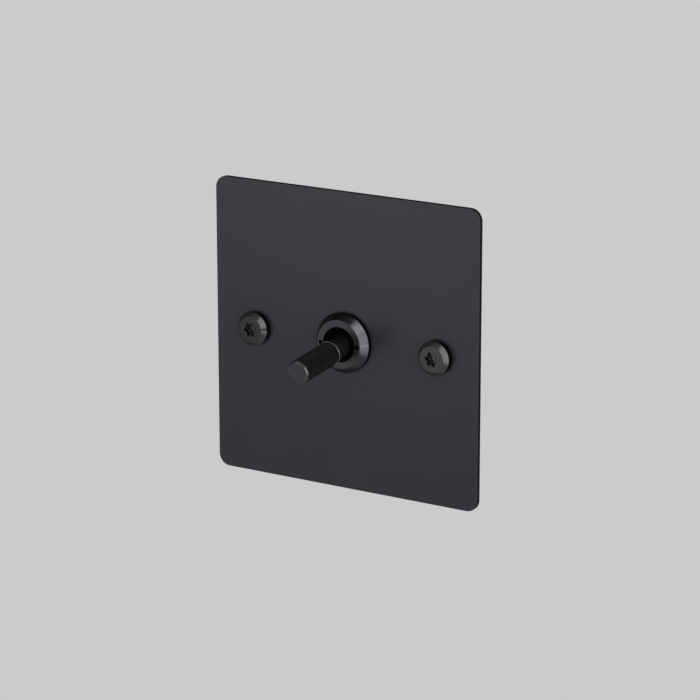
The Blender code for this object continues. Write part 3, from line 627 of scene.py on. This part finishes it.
def head_screw(name):
    """A pan head with a conical rim, a six-lobe recess and its centre pin, over a threaded shank. Zero is under the head."""
    top = 3.1 * MM
    lobe = lobed(1.6 * MM, 2.25 * MM)
    floor = top - 1.9 * MM
    rings = [
        (0, floor + 0.4 * MM),
        (0.36 * MM, floor + 0.4 * MM),
        (0.45 * MM, floor + 0.35 * MM),
        (0.48 * MM, floor + 0.24 * MM),
        (0.48 * MM, floor),
        (grown(lobe, -0.14 * MM), floor),
        (grown(lobe, -0.05 * MM), floor + 0.08 * MM),
        (grown(lobe, -0.02 * MM), top - 0.12 * MM),
        (grown(lobe, 0.01 * MM), top - 0.04 * MM),
        (grown(lobe, 0.07 * MM), top),
        (2.6 * MM, top),
        (3.0 * MM, top),
    ]
    rings += rounded(
        [
            (3.2 * MM, top, 0),
            (3.75 * MM, top, 0.18 * MM),
            (4.92 * MM, 1.8 * MM, 0.16 * MM),
            (5.1 * MM, 0.0, 0.10 * MM),
            (1.75 * MM, 0.0, 0.10 * MM),
            (1.7 * MM, -0.6 * MM, 0),
        ],
        steps=4,
    )
    rings += thread_rings(1.7 * MM, -0.9 * MM, -17.9 * MM, 0.6 * MM, 0.30 * MM, 7)
    rings += [(1.25 * MM, -18.5 * MM), (0, -18.5 * MM)]
    return ring_mesh(name, rings, 96)


for side, x, turn in (("left", -FIXING_X, 4), ("right", FIXING_X, -5)):
    link(
        "fixing_screw_" + side + "_fine",
        head_screw("screw_" + side),
        at(x, SEAT, 0, TO_FRONT @ Matrix.Rotation(math.radians(turn), 4, "Z")),
        "screw",
        "base",
        "fixing_screw_" + side,
        30,
    )

# ------------------------------------------------------------------ lever
FLUTES = 32
GRIP_R, FLUTE_DEPTH = 3.5 * MM, 0.27 * MM
GRIP_FROM, GRIP_TO = 13.7 * MM, 30.06 * MM


def groove(angle):
    """The grip's radius between its ends: rounded lands with V grooves between them."""
    phase = (angle / TURN * FLUTES) % 1.0
    away = abs(phase - 0.5) * 2  # 0 in the middle of a groove, 1 in the middle of a land
    if away < 0.62:
        return GRIP_R - FLUTE_DEPTH * (0.12 + 0.88 * (1 - away / 0.62))
    return GRIP_R - FLUTE_DEPTH * 0.12 * ((1 - away) / 0.38) ** 2


def turned_to(limit):
    return lambda angle: min(limit, groove(angle))


def end_limit(s):
    """The chamfer turned on the grip's free end."""
    t = (GRIP_TO - s) / (0.44 * MM)
    if t >= 1:
        return GRIP_R
    return 3.03 * MM + (GRIP_R - 3.03 * MM) * t


rings = [(0, GRIP_TO), (1.5 * MM, GRIP_TO), (2.7 * MM, GRIP_TO), (2.98 * MM, GRIP_TO)]
for i in range(11):
    s = GRIP_TO - 0.02 * MM - 0.46 * MM * i / 10
    rings.append((turned_to(end_limit(s)), s))
for i in range(1, 9):
    rings.append((groove, GRIP_TO - 0.55 * MM - (GRIP_TO - 0.55 * MM - GRIP_FROM - 0.25 * MM) * i / 8))
for drop, cut in ((0.15, 0.04), (0.08, 0.10), (0.03, 0.17), (0.0, 0.27)):
    rings.append((turned_to(GRIP_R - cut * MM), GRIP_FROM + drop * MM))
rings += [
    (1.75 * MM, GRIP_FROM),
    (1.6 * MM, GRIP_FROM + 0.15 * MM),
    (1.6 * MM, 22.0 * MM),
    (0, 22.0 * MM),
]
grip_mesh = ring_mesh("grip", rings, FLUTES * 14)
grip = link("fluted_grip", grip_mesh, LEVER, "grip", "lever", "grip_sleeve", 22)
grip.data.materials.append(M["cap"])
grip.data.materials.append(M["grip_edge"])
for face in grip.data.polygons:
    if face.center.z > GRIP_TO - 0.47 * MM:
        face.material_index = 1 if math.hypot(face.center.x, face.center.y) < 3.0 * MM else 2

link(
    "grip_collar_fine",
    lathe(
        "collar",
        [
            (3.62 * MM, 13.6 * MM, 0.16 * MM),
            (3.62 * MM, 13.15 * MM, 0.16 * MM),
            (1.6 * MM, 13.15 * MM, 0),
            (1.6 * MM, 13.6 * MM, 0),
        ],
        160,
        closed=True,
        steps=6,
    ),
    LEVER,
    "collar",
    "lever",
    "grip_collar",
    24,
)

BALL_R, STEM_R, TAIL_R = 4.0 * MM, 3.2 * MM, 2.6 * MM
top_angle, low_angle = math.acos(STEM_R / BALL_R), -math.acos(TAIL_R / BALL_R)
ball = [
    (BALL_R * math.cos(top_angle + (low_angle - top_angle) * i / 28), BALL_R * math.sin(top_angle + (low_angle - top_angle) * i / 28))
    for i in range(29)
]
stem_rings = rounded([(0, 21.5 * MM, 0), (1.2 * MM, 21.5 * MM, 0), (1.45 * MM, 21.25 * MM, 0)])
stem_rings += thread_rings(1.5 * MM, 21.2 * MM, 13.9 * MM, 0.5 * MM, 0.22 * MM, 7)
stem_rings += rounded([(1.3 * MM, 13.6 * MM, 0), (1.3 * MM, 13.05 * MM, 0.1 * MM), (STEM_R, 13.05 * MM, 0.2 * MM), (STEM_R, 9.0 * MM, 0), (STEM_R, 5.0 * MM, 0)], steps=5)
stem_rings += ball
stem_rings += rounded([(TAIL_R, -5.0 * MM, 0), (TAIL_R, -8.4 * MM, 0.2 * MM), (1.45 * MM, -8.4 * MM, 0.15 * MM), (1.45 * MM, -2.0 * MM, 0), (0, -2.0 * MM, 0)])
stem_mesh = combined(
    "stem",
    ring_mesh("stem_turned", stem_rings, 96),
    [("DIFFERENCE", rod_mesh("pin_tool", 1.06 * MM, -8 * MM, 8 * MM, 48), ACROSS)],
)
link("lever_stem_fine", stem_mesh, LEVER, "stem", "lever", "lever_stem", 30)

link(
    "pivot_pin_fine",
    lathe("pin", [(0, 5.7 * MM, 0), (1.0 * MM, 5.7 * MM, 0.15 * MM), (1.0 * MM, -5.7 * MM, 0.15 * MM), (0, -5.7 * MM, 0)], 64),
    at(0, PIVOT_Y, 0, ACROSS),
    "zinc",
    "base",
    "pivot_pin",
)

NOSE = -(FULCRUM_Y - 1.6 * MM - 0.1 * MM - PIVOT_Y)
link(
    "plunger_fine",
    lathe(
        "plunger",
        [
            (0, -5.0 * MM, 0),
            (1.35 * MM, -5.0 * MM, 0.15 * MM),
            (1.35 * MM, -9.3 * MM, 0.1 * MM),
            (1.0 * MM, NOSE + 1.0 * MM, 0),
            *[(1.0 * MM * math.cos(TURN / 4 * i / 8), NOSE + 1.0 * MM - 1.0 * MM * math.sin(TURN / 4 * i / 8), 0) for i in range(1, 8)],
            (0, NOSE, 0),
        ],
        64,
    ),
    LEVER,
    "brass_turned",
    "plunger",
    "plunger",
    30,
)

coil = bpy.data.curves.new("spring_wire", "CURVE")
coil.dimensions = "3D"
coil.fill_mode = "FULL"
coil.bevel_depth = 0.17 * MM
coil.bevel_resolution = 4
coil.use_fill_caps = True
wire = coil.splines.new("POLY")
COIL_POINTS = 160
wire.points.add(COIL_POINTS - 1)
for i, point in enumerate(wire.points):
    t = i / (COIL_POINTS - 1)
    turns = 5.0 * TURN * t
    flat = min(1.0, t / 0.16, (1 - t) / 0.16)
    eased = (t - 0.08) / 0.84 if 0.16 < t < 0.84 else None
    rise = eased if eased is not None else (0.5 * (t / 0.16) * (0.08 / 0.84) * (t / 0.16) * 2 * 0.5 if t <= 0.16 else 1 - 0.5 * ((1 - t) / 0.16) ** 2 * (0.08 / 0.84))
    z = -4.75 * MM + 2.5 * MM * min(1.0, max(0.0, rise))
    point.co = (1.1 * MM * math.cos(turns), 1.1 * MM * math.sin(turns), z, 1)
guide = bpy.data.objects.new("spring_guide", coil)
bpy.context.scene.collection.objects.link(guide)
bpy.context.view_layer.update()
spring_mesh = bpy.data.meshes.new_from_object(guide.evaluated_get(bpy.context.evaluated_depsgraph_get()))
bpy.data.objects.remove(guide)
bm = bmesh.new()
bm.from_mesh(spring_mesh)
bmesh.ops.remove_doubles(bm, verts=bm.verts, dist=1e-7)
bmesh.ops.recalc_face_normals(bm, faces=bm.faces)
bm.to_mesh(spring_mesh)
bm.free()
spring_mesh.materials.clear()
spring = link("plunger_spring_fine", spring_mesh, LEVER, "spring", "lever", "plunger_spring", 40)
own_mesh(spring)

# ------------------------------------------------------------------ bush, washer and nut
bush_rings = rounded([(4.95 * MM, 3.1 * MM, 0), (5.55 * MM, 3.1 * MM, 0.05 * MM), (5.75 * MM, 2.95 * MM, 0)])
bush_rings += thread_rings(6.0 * MM, 2.9 * MM, -3.35 * MM, 0.75 * MM, 0.42 * MM, 8)
bush_rings += rounded(
    [
        (5.6 * MM, -3.45 * MM, 0),
        (5.6 * MM, -3.5 * MM, 0),
        (7.4 * MM, -3.5 * MM, 0.12 * MM),
        (7.4 * MM, -4.7 * MM, 0.12 * MM),
        (5.2 * MM, -4.7 * MM, 0.05 * MM),
        (5.2 * MM, -5.7 * MM, 0.05 * MM),
        (5.9 * MM, -5.78 * MM, 0.1 * MM),
        (5.7 * MM, -6.15 * MM, 0.1 * MM),
        (4.25 * MM, -6.15 * MM, 0.1 * MM),
        (4.25 * MM, -0.8 * MM, 0),
        (4.7 * MM, -0.3 * MM, 0),
        (4.7 * MM, 2.85 * MM, 0),
    ]
)
bush_mesh = combined(
    "bush",
    ring_mesh("bush_turned", bush_rings, 144, closed=True),
    [
        ("DIFFERENCE", rod_mesh("bush_pin_tool", 1.05 * MM, -9 * MM, 9 * MM, 48), at(0, 0, -3.5 * MM, ACROSS)),
        ("DIFFERENCE", box_mesh("keyway_tool", (-0.8 * MM, 5.25 * MM, -3.2 * MM), (0.8 * MM, 8 * MM, 5 * MM)), None),
    ],
)
link("threaded_bush_fine", bush_mesh, TO_FRONT, "bush", "base", "threaded_bush", 28)


def washer_tooth(angle):
    phase = (angle / TURN * 14) % 1.0
    return 6.2 * MM + 0.7 * MM * (1.0 if 0.32 < phase < 0.95 else 0.0)


def washer_twist(height, lift):
    def h(angle):
        phase = (angle / TURN * 14) % 1.0
        if 0.32 < phase < 0.95:
            return height
        return height + lift * (phase / 0.32 - 0.5 if phase < 0.32 else 0.0)

    return h


washer = curve_mesh(
    "lock_washer",
    [
        circle(8.6 * MM, 120),
        [
            (
                (6.25 * MM if (i % 12) < 5 else 7.15 * MM) * math.cos(TURN * i / 168),
                (6.25 * MM if (i % 12) < 5 else 7.15 * MM) * math.sin(TURN * i / 168),
            )
            for i in range(168)
        ],
    ],
    0,
    0.7 * MM,
    0.06 * MM,
    2,
)
link("lock_washer_fine", washer, at(0, 0.85 * MM, 0, TO_FRONT), "steel", "base", "lock_washer", 30)

NUT_FLAT = 7.5 * MM


def hexagon(angle):
    part = (angle + TURN / 12) % (TURN / 6) - TURN / 12
    return min(NUT_FLAT / math.cos(part), 8.55 * MM)


def hex_height(level, sign, start=7.45 * MM):
    return lambda angle: level - sign * max(0.0, hexagon(angle) - start) * math.tan(math.radians(28))


nut_rings = [
    (6.5 * MM, 2.2 * MM),
    (7.2 * MM, 2.2 * MM),
    (7.40 * MM, 2.2 * MM),
    (lambda a: (7.45 * MM + hexagon(a)) / 2, lambda a: 2.2 * MM - max(0.0, (7.45 * MM + hexagon(a)) / 2 - 7.45 * MM) * math.tan(math.radians(28))),
    (hexagon, hex_height(2.17 * MM, 1)),
    (hexagon, 1.1 * MM),
    (hexagon, hex_height(0.03 * MM, -1)),
    (lambda a: (7.45 * MM + hexagon(a)) / 2, lambda a: max(0.0, (7.45 * MM + hexagon(a)) / 2 - 7.45 * MM) * math.tan(math.radians(28))),
    (7.40 * MM, 0.0),
    (6.5 * MM, 0.0),
    (6.2 * MM, 0.25 * MM),
    (6.15 * MM, 0.6 * MM),
    (6.15 * MM, 1.6 * MM),
    (6.2 * MM, 1.95 * MM),
]
link("rear_nut_fine", ring_mesh("rear_nut", nut_rings, 144, closed=True), at(0, 3.15 * MM, 0, TO_FRONT), "zinc", "base", "rear_lock_nut", 24)

# ------------------------------------------------------------------ cradle and insulator
FRAME_THICK, FRAME_FRONT, LUG_Y = 0.8 * MM, 4.8 * MM, 18.4 * MM
leg_x = BODY_HALF_X + 0.15 * MM + FRAME_THICK / 2
cradle_outline = strip_outline(
    [
        (-leg_x + 1.15 * MM, -LUG_Y),
        (-leg_x, -LUG_Y),
        (-leg_x, -FRAME_FRONT - FRAME_THICK / 2),
        (leg_x, -FRAME_FRONT - FRAME_THICK / 2),
        (leg_x, -LUG_Y),
        (leg_x - 1.15 * MM, -LUG_Y),
    ],
    FRAME_THICK,
    0.55 * MM,
)
turn_over = Matrix.Rotation(math.pi, 4, "X")
tools = [("DIFFERENCE", rod_mesh("cradle_hole", 5.35 * MM, -3 * MM, 3 * MM, 96), at(0, FRAME_FRONT, 0, TO_REAR))]
for sign in (1, -1):
    low, high = sorted((sign * 7 * MM, sign * 20 * MM))
    tools.append(("DIFFERENCE", box_mesh("leg_gap", (-20 * MM, FRAME_FRONT + 2.2 * MM, low), (20 * MM, 25 * MM, high)), None))
    low, high = sorted((sign * 3 * MM, sign * 20 * MM))
    tools.append(("DIFFERENCE", box_mesh("lug_gap", (-20 * MM, LUG_Y - 1.4 * MM, low), (20 * MM, 25 * MM, high)), None))
cradle = combined(
    "cradle",
    curve_mesh("cradle_blank", [cradle_outline], -BODY_HALF_Z, BODY_HALF_Z, 0.0, 0),
    tools,
    edge=0.10 * MM,
    segments=2,
    base_matrix=turn_over,
)
cradle.transform(turn_over)
link("switch_cradle_fine", cradle, Matrix.Identity(4), "steel", "base", "switch_cradle", 30)
link(
    "insulator_fine",
    curve_mesh("insulator", [rounded_rectangle(8.9 * MM, 15.2 * MM, 1 * MM, 8), circle(6.2 * MM, 96)], 0, 0.4 * MM, 0.04 * MM, 1),
    at(0, 6.15 * MM, 0, TO_FRONT),
    "fibre",
    "base",
    "insulator_plate",
    30,
)

# ------------------------------------------------------------------ housing
tools = [("DIFFERENCE", box_mesh("cavity", (-CAVITY_HALF_X, BODY_FRONT - 1 * MM, -CAVITY_HALF_Z), (CAVITY_HALF_X, CAVITY_FLOOR, CAVITY_HALF_Z)), None)]
for first, second in zip(RIB_Z, RIB_Z[1:]):
    tools.append(("DIFFERENCE", box_mesh("bay", (-20 * MM, BODY_REAR, first + RIB_THICK / 2), (20 * MM, RIB_REAR + 1 * MM, second - RIB_THICK / 2)), None))
for sign in (-1, 1):
    low, high = sorted((sign * (BODY_HALF_X - 0.85 * MM), sign * (BODY_HALF_X + 1 * MM)))
    tools.append(("DIFFERENCE", box_mesh("pocket", (low, LUG_Y - 0.7 * MM, -3.4 * MM), (high, LUG_Y + 0.7 * MM, 3.4 * MM)), None))
    low, high = sorted((sign * (SLOT_Z - 0.6 * MM), sign * (SLOT_Z + 0.6 * MM)))
    tools.append(("DIFFERENCE", box_mesh("slot", (-2.7 * MM, CAVITY_FLOOR - 1 * MM, low), (2.7 * MM, BODY_REAR + 1 * MM, high)), None))
tools.append(("DIFFERENCE", box_mesh("com_slot", (-2.7 * MM, CAVITY_FLOOR - 1 * MM, -1.15 * MM), (2.7 * MM, BODY_REAR + 1 * MM, 1.15 * MM)), None))
SCREWS = {"com": (COM_SCREW_X, 0.0), "l1": (0.0, L_SCREW_Z), "l2": (0.0, -L_SCREW_Z)}
for x, z in SCREWS.values():
    tools.append(("DIFFERENCE", rod_mesh("well", 1.95 * MM, -3.1 * MM, 1 * MM, 48), at(x, BODY_REAR, z, TO_REAR)))
housing = combined(
    "housing",
    box_mesh("housing_blank", (-BODY_HALF_X, BODY_FRONT, -BODY_HALF_Z), (BODY_HALF_X, RIB_REAR, BODY_HALF_Z)),
    tools,
    edge=0.28 * MM,
    segments=3,
)
link("switch_housing_fine", housing, Matrix.Identity(4), "moulding", "base", "switch_housing", 35)

# ------------------------------------------------------------------ contacts and terminals
dome = (TIP_R**2 + TIP_DOME**2) / (2 * TIP_DOME)
reach = (TIP_APEX - dome) * math.cos(ROCKER_TILT) + TIP_Z * math.sin(ROCKER_TILT) + dome
fixed_front = FULCRUM_Y + reach + 0.06 * MM
leg_y = CAVITY_FLOOR - 0.2 * MM - STRIP_THICK / 2
SIDEWAYS = Matrix.Rotation(math.pi / 2, 4, "Z") @ Matrix.Rotation(math.pi / 2, 4, "X")
for end, sign in (("l1", 1), ("l2", -1)):
    loop = [(y, sign * z) for y, z in strip_outline([(leg_y, 6.9 * MM), (leg_y, SLOT_Z), (TAB_Y, SLOT_Z), (TAB_Y, 6.1 * MM)], STRIP_THICK, 0.5 * MM)]
    if sign < 0:
        loop = loop[::-1]
    blank = curve_mesh(end + "_blank", [loop], -STRIP_WIDTH / 2, STRIP_WIDTH / 2, 0.0, 0)
    strip = combined(
        end + "_strip",
        blank,
        [("DIFFERENCE", rod_mesh("tap", 1.82 * MM, -1.5 * MM, 3 * MM, 48), at(0, BODY_REAR, sign * L_SCREW_Z, TO_REAR))],
        edge=0.09 * MM,
        segments=2,
        base_matrix=SIDEWAYS,
    )
    strip.transform(SIDEWAYS)
    link(end + "_terminal_fine", strip, Matrix.Identity(4), "brass", "base", end + "_terminal", 30)
    link(
        "fixed_contact_" + end + "_fine",
        lathe("fixed_contact", [(0, 0, 0), (1.7 * MM, 0, 0.25 * MM), (1.7 * MM, fixed_front - leg_y + STRIP_THICK / 2 + 0.05 * MM, 0.05 * MM), (0, fixed_front - leg_y + STRIP_THICK / 2 + 0.05 * MM, 0)], 64),
        at(0, fixed_front, sign * TIP_Z, TO_FRONT),
        "silver",
        "base",
        "fixed_contact_" + end,
    )
    tip = [(0, 0, 0)] + [(dome * math.sin(a), dome * (math.cos(a) - 1), 0) for a in [math.asin(TIP_R / dome) * i / 10 for i in range(1, 11)]]
    tip += [(TIP_R, -TIP_APEX - 0.55 * MM, 0), (0, -TIP_APEX - 0.55 * MM, 0)]
    link(
        "moving_contact_" + end + "_fine",
        lathe("moving_contact", tip, 64),
        ROCKER @ at(0, TIP_APEX, sign * TIP_Z, TO_REAR),
        "silver",
        "rocker",
        "moving_contact_" + end,
        35,
    )

com = combined(
    "com",
    box_mesh("com_post", (-STRIP_WIDTH / 2, FULCRUM_Y, -FULCRUM_R), (STRIP_WIDTH / 2, TAB_Y, FULCRUM_R)),
    [
        ("UNION", rod_mesh("fulcrum", FULCRUM_R, -STRIP_WIDTH / 2, STRIP_WIDTH / 2, 48), at(0, FULCRUM_Y, 0, ACROSS)),
        ("UNION", box_mesh("com_tab", (-STRIP_WIDTH / 2 - 0.4 * MM, TAB_Y - STRIP_THICK / 2, -3.3 * MM), (COM_SCREW_X + 3.4 * MM, TAB_Y + STRIP_THICK / 2, 3.3 * MM)), None),
        ("DIFFERENCE", rod_mesh("tap", 1.82 * MM, -1.5 * MM, 3 * MM, 48), at(COM_SCREW_X, BODY_REAR, 0, TO_REAR)),
    ],
    edge=0.10 * MM,
    segments=2,
)
link("com_terminal_fine", com, Matrix.Identity(4), "brass", "base", "com_terminal", 32)

trough = FULCRUM_R + 0.12 * MM
arc = [(trough * math.cos(TURN / 2 * i / 24), trough * math.sin(TURN / 2 * i / 24)) for i in range(25)]
rocker_loop = [
    (2.2 * MM, -0.3 * MM), (2.2 * MM, 0.6 * MM), (10.8 * MM, 0.6 * MM), (10.8 * MM, 1.6 * MM),
    (-10.8 * MM, 1.6 * MM), (-10.8 * MM, 0.6 * MM), (-2.2 * MM, 0.6 * MM), (-2.2 * MM, -0.3 * MM),
    (-trough, -0.3 * MM), *arc[::-1], (trough, -0.3 * MM),
]
ROCKER_TURN = Matrix.Rotation(-math.pi / 2, 4, "Y") @ Matrix.Rotation(math.pi, 4, "X")
rocker = combined(
    "rocker",
    curve_mesh("rocker_blank", [rocker_loop], -2.6 * MM, 2.6 * MM, 0.0, 0),
    [],
    edge=0.08 * MM,
    segments=2,
)
rocker.transform(ROCKER_TURN)
link("rocker_contact_fine", rocker, ROCKER, "brass", "rocker", "rocker_contact", 30)

clamp_y = TAB_Y + STRIP_THICK / 2 + 0.1 * MM
head_y = clamp_y + 1.0 * MM


def slotted_screw(name, shank, turn, matrix, finish, node):
    """A cheese-head screw with a slot, zero under the head and +Z out of it."""
    rings = rounded(
        [
            (0, 1.9 * MM, 0),
            (2.3 * MM, 1.9 * MM, 0.12 * MM),
            (2.85 * MM, 1.4 * MM, 0.15 * MM),
            (2.95 * MM, 0.0, 0.08 * MM),
            (1.7 * MM, 0.0, 0),
            (1.65 * MM, -0.2 * MM, 0),
        ]
    )
    rings += thread_rings(1.7 * MM, -0.25 * MM, -shank + 0.35 * MM, 0.6 * MM, 0.28 * MM, 7)
    rings += [(1.25 * MM, -shank), (0, -shank)]
    slot = combined("slot", box_mesh("slot_tool", (-4 * MM, -0.45 * MM, 0.85 * MM), (4 * MM, 0.45 * MM, 3 * MM)), [], edge=0.08 * MM, segments=2)
    mesh = combined(name, ring_mesh(name + "_turned", rings, 72), [("DIFFERENCE", slot, Matrix.Rotation(math.radians(turn), 4, "Z"))])
    link(name + "_fine", mesh, matrix, finish, "base", node, 28)


for (end, (x, z)), turn in zip(SCREWS.items(), (25, 25, 25)):
    link(
        "clamp_plate_" + end + "_fine",
        curve_mesh("clamp_" + end, [rounded_rectangle(3.2 * MM, 3.2 * MM, 0.5 * MM, 6), circle(1.95 * MM, 48)], 0, 0.9 * MM, 0.10 * MM, 2),
        at(x, clamp_y, z, TO_REAR),
        "zinc",
        "base",
        "clamp_plate_" + end,
        30,
    )
    slotted_screw("terminal_screw_" + end, 4.9 * MM, turn, at(x, head_y, z, TO_REAR), "zinc", "terminal_screw_" + end)

earth = combined(
    "earth",
    box_mesh("earth_blank", (-3.5 * MM, 0.1 * MM, EARTH_Z - 3.3 * MM), (3.5 * MM, 8 * MM, EARTH_Z + 3.3 * MM)),
    [
        ("DIFFERENCE", rod_mesh("earth_tap", 1.82 * MM, -4.5 * MM, 1 * MM, 48), at(0, 8 * MM, EARTH_Z, TO_REAR)),
        ("DIFFERENCE", rod_mesh("earth_wire", 1.75 * MM, -6 * MM, 6 * MM, 48), at(0, 3.6 * MM, EARTH_Z, ACROSS)),
    ],
    edge=0.22 * MM,
    segments=3,
)
link("earth_block_fine", earth, Matrix.Identity(4), "brass", "base", "earth_block", 32)
slotted_screw("earth_screw", 3.4 * MM, 25, at(0, 8.1 * MM, EARTH_Z, TO_REAR), "brass_turned", "earth_screw")

# ------------------------------------------------------------------ camera
AZIMUTH, ELEVATION, ROLL = math.radians(31.757), math.radians(15.606), math.radians(-0.059)
DISTANCE, ASIDE, ABOVE = 0.84046, -0.000703, 0.002604
forward = Vector((-math.sin(AZIMUTH) * math.cos(ELEVATION), math.cos(AZIMUTH) * math.cos(ELEVATION), -math.sin(ELEVATION)))
right = Vector((math.cos(AZIMUTH), math.sin(AZIMUTH), 0))
upward = right.cross(forward)
level_right, level_up = right.copy(), upward.copy()
right = level_right * math.cos(ROLL) + level_up * math.sin(ROLL)
upward = level_up * math.cos(ROLL) - level_right * math.sin(ROLL)
camera_data = bpy.data.cameras.new("camera")
camera_data.sensor_width = 36.0
camera_data.lens = 152.297
camera_data.clip_start, camera_data.clip_end = 0.01, 200.0
camera = bpy.data.objects.new("camera", camera_data)
bpy.context.scene.collection.objects.link(camera)
place = Matrix((right, upward, -forward)).transposed().to_4x4()
place.translation = -(right * ASIDE + upward * ABOVE + forward * DISTANCE)
camera.matrix_world = place
bpy.context.scene.camera = camera

# ------------------------------------------------------------------ studio
PALE = 0.5972
floor_mesh = bpy.data.meshes.new("floor")
bm = bmesh.new()
bmesh.ops.create_grid(bm, x_segments=4, y_segments=4, size=60.0)
bm.to_mesh(floor_mesh)
bm.free()
floor = bpy.data.objects.new("floor", floor_mesh)
bpy.context.scene.collection.objects.link(floor)
floor.location = (0, 0, -0.6)
floor_mat = bpy.data.materials.new("floor_pale")
floor_mat.use_nodes = True
floor_mat.node_tree.nodes.clear()
fn = Nodes(floor_mat.node_tree)
glow = fn.new("ShaderNodeEmission")
glow.inputs["Color"].default_value = (PALE, PALE, PALE, 1)
floor_out = fn.new("ShaderNodeOutputMaterial")
fn.tree.links.new(glow.outputs[0], floor_out.inputs[0])
floor_mesh.materials.append(floor_mat)
floor.visible_diffuse = floor.visible_glossy = floor.visible_shadow = False
floor.visible_transmission = False

world = bpy.data.worlds.new("studio")
bpy.context.scene.world = world
world.use_nodes = True
world.node_tree.nodes.clear()
w = Nodes(world.node_tree)
direction = w.vector("NORMALIZE", w.new("ShaderNodeTexCoord").outputs["Generated"])


def lobe(centre, inner, outer, strength):
    """Soft light round a direction: full within inner degrees of it, none beyond outer."""
    axis = Vector(centre).normalized()
    facing = w.vector("DOT_PRODUCT", direction, tuple(axis))
    return w.ramp(facing, math.cos(math.radians(outer)), math.cos(math.radians(inner)), 0.0, strength, smooth=True)


def rise(angle, low, high):
    return w.ramp(angle, math.radians(low), math.radians(high), 0.0, 1.0, smooth=True)


def fall(angle, low, high):
    return w.ramp(angle, math.radians(low), math.radians(high), 1.0, 0.0, smooth=True)


parts = w.new("ShaderNodeSeparateXYZ")
w.feed(parts, 0, direction)
to_right, to_wall, to_top = parts.outputs
to_room = w.math("MULTIPLY", to_wall, -1.0)
turned = w.math("ARCTAN2", to_right, to_room)  # 0 straight out of the wall, + towards the right
raised = w.math("ARCSINE", to_top)
slanted = w.math("ADD", raised, w.math("MULTIPLY", w.math("SUBTRACT", turned, math.radians(42)), 0.81))
strip = w.math("MULTIPLY", rise(turned, 28, 42), fall(turned, 80, 95))
strip = w.math("MULTIPLY", strip, w.math("MULTIPLY", rise(slanted, -24, 4), fall(raised, 50, 80)))
room = w.ramp(to_room, 0.04, 0.50, 0.0, 1.0, smooth=True)
light = w.math("ADD", w.math("MULTIPLY", strip, 1.75), w.math("MULTIPLY", room, 0.26))
light = w.math("ADD", light, lobe((-0.25, 0.90, 0.30), 12, 50, 1.6))
light = w.math("ADD", light, lobe((0.62, 0.72, 0.32), 8, 32, 0.7))
light = w.math("ADD", light, lobe((-0.1, 0.85, -0.50), 10, 45, 0.25))
light = w.math("ADD", light, lobe((0.12, -0.15, -0.98), 14, 48, 0.34))
light = w.math("ADD", light, lobe((-0.80, 0.42, -0.42), 6, 34, 0.30))
light = w.math("ADD", light, 0.025)
sky = w.new("ShaderNodeBackground")
grey = w.new("ShaderNodeCombineColor")
for i, part in enumerate((0.985, 0.995, 1.02)):
    w.feed(grey, i, w.math("MULTIPLY", light, part))
w.feed(sky, "Color", grey.outputs[0])
back = w.new("ShaderNodeBackground")
back.inputs["Color"].default_value = (PALE, PALE, PALE, 1)
chooser = w.new("ShaderNodeMixShader")
w.feed(chooser, 0, w.new("ShaderNodeLightPath").outputs["Is Camera Ray"])
w.tree.links.new(sky.outputs[0], chooser.inputs[1])
w.tree.links.new(back.outputs[0], chooser.inputs[2])
world_out = w.new("ShaderNodeOutputWorld")
w.tree.links.new(chooser.outputs[0], world_out.inputs[0])

# a large soft card before the plate, up and to the left, at a finite distance so that it shades the plate from top to bottom
CARD = 0.44
card_light = bpy.data.lights.new("card", "AREA")
card_light.shape = "SQUARE"
card_light.size = CARD
card_light.energy = 0.372 * 4 * CARD * CARD
card_light.color = (0.985, 0.995, 1.02)
card = bpy.data.objects.new("card", card_light)
bpy.context.scene.collection.objects.link(card)
card.matrix_world = at(-0.21, -0.30, 0.165, Matrix.Rotation(math.pi / 2, 4, "X") @ Matrix.Rotation(math.radians(-30), 4, "Z"))
card.visible_camera = False

bpy.context.scene.view_settings.view_transform = "Standard"
bpy.context.scene.view_settings.look = "None"
bpy.context.scene.view_settings.exposure = 0.0
bpy.context.scene.view_settings.gamma = 1.0
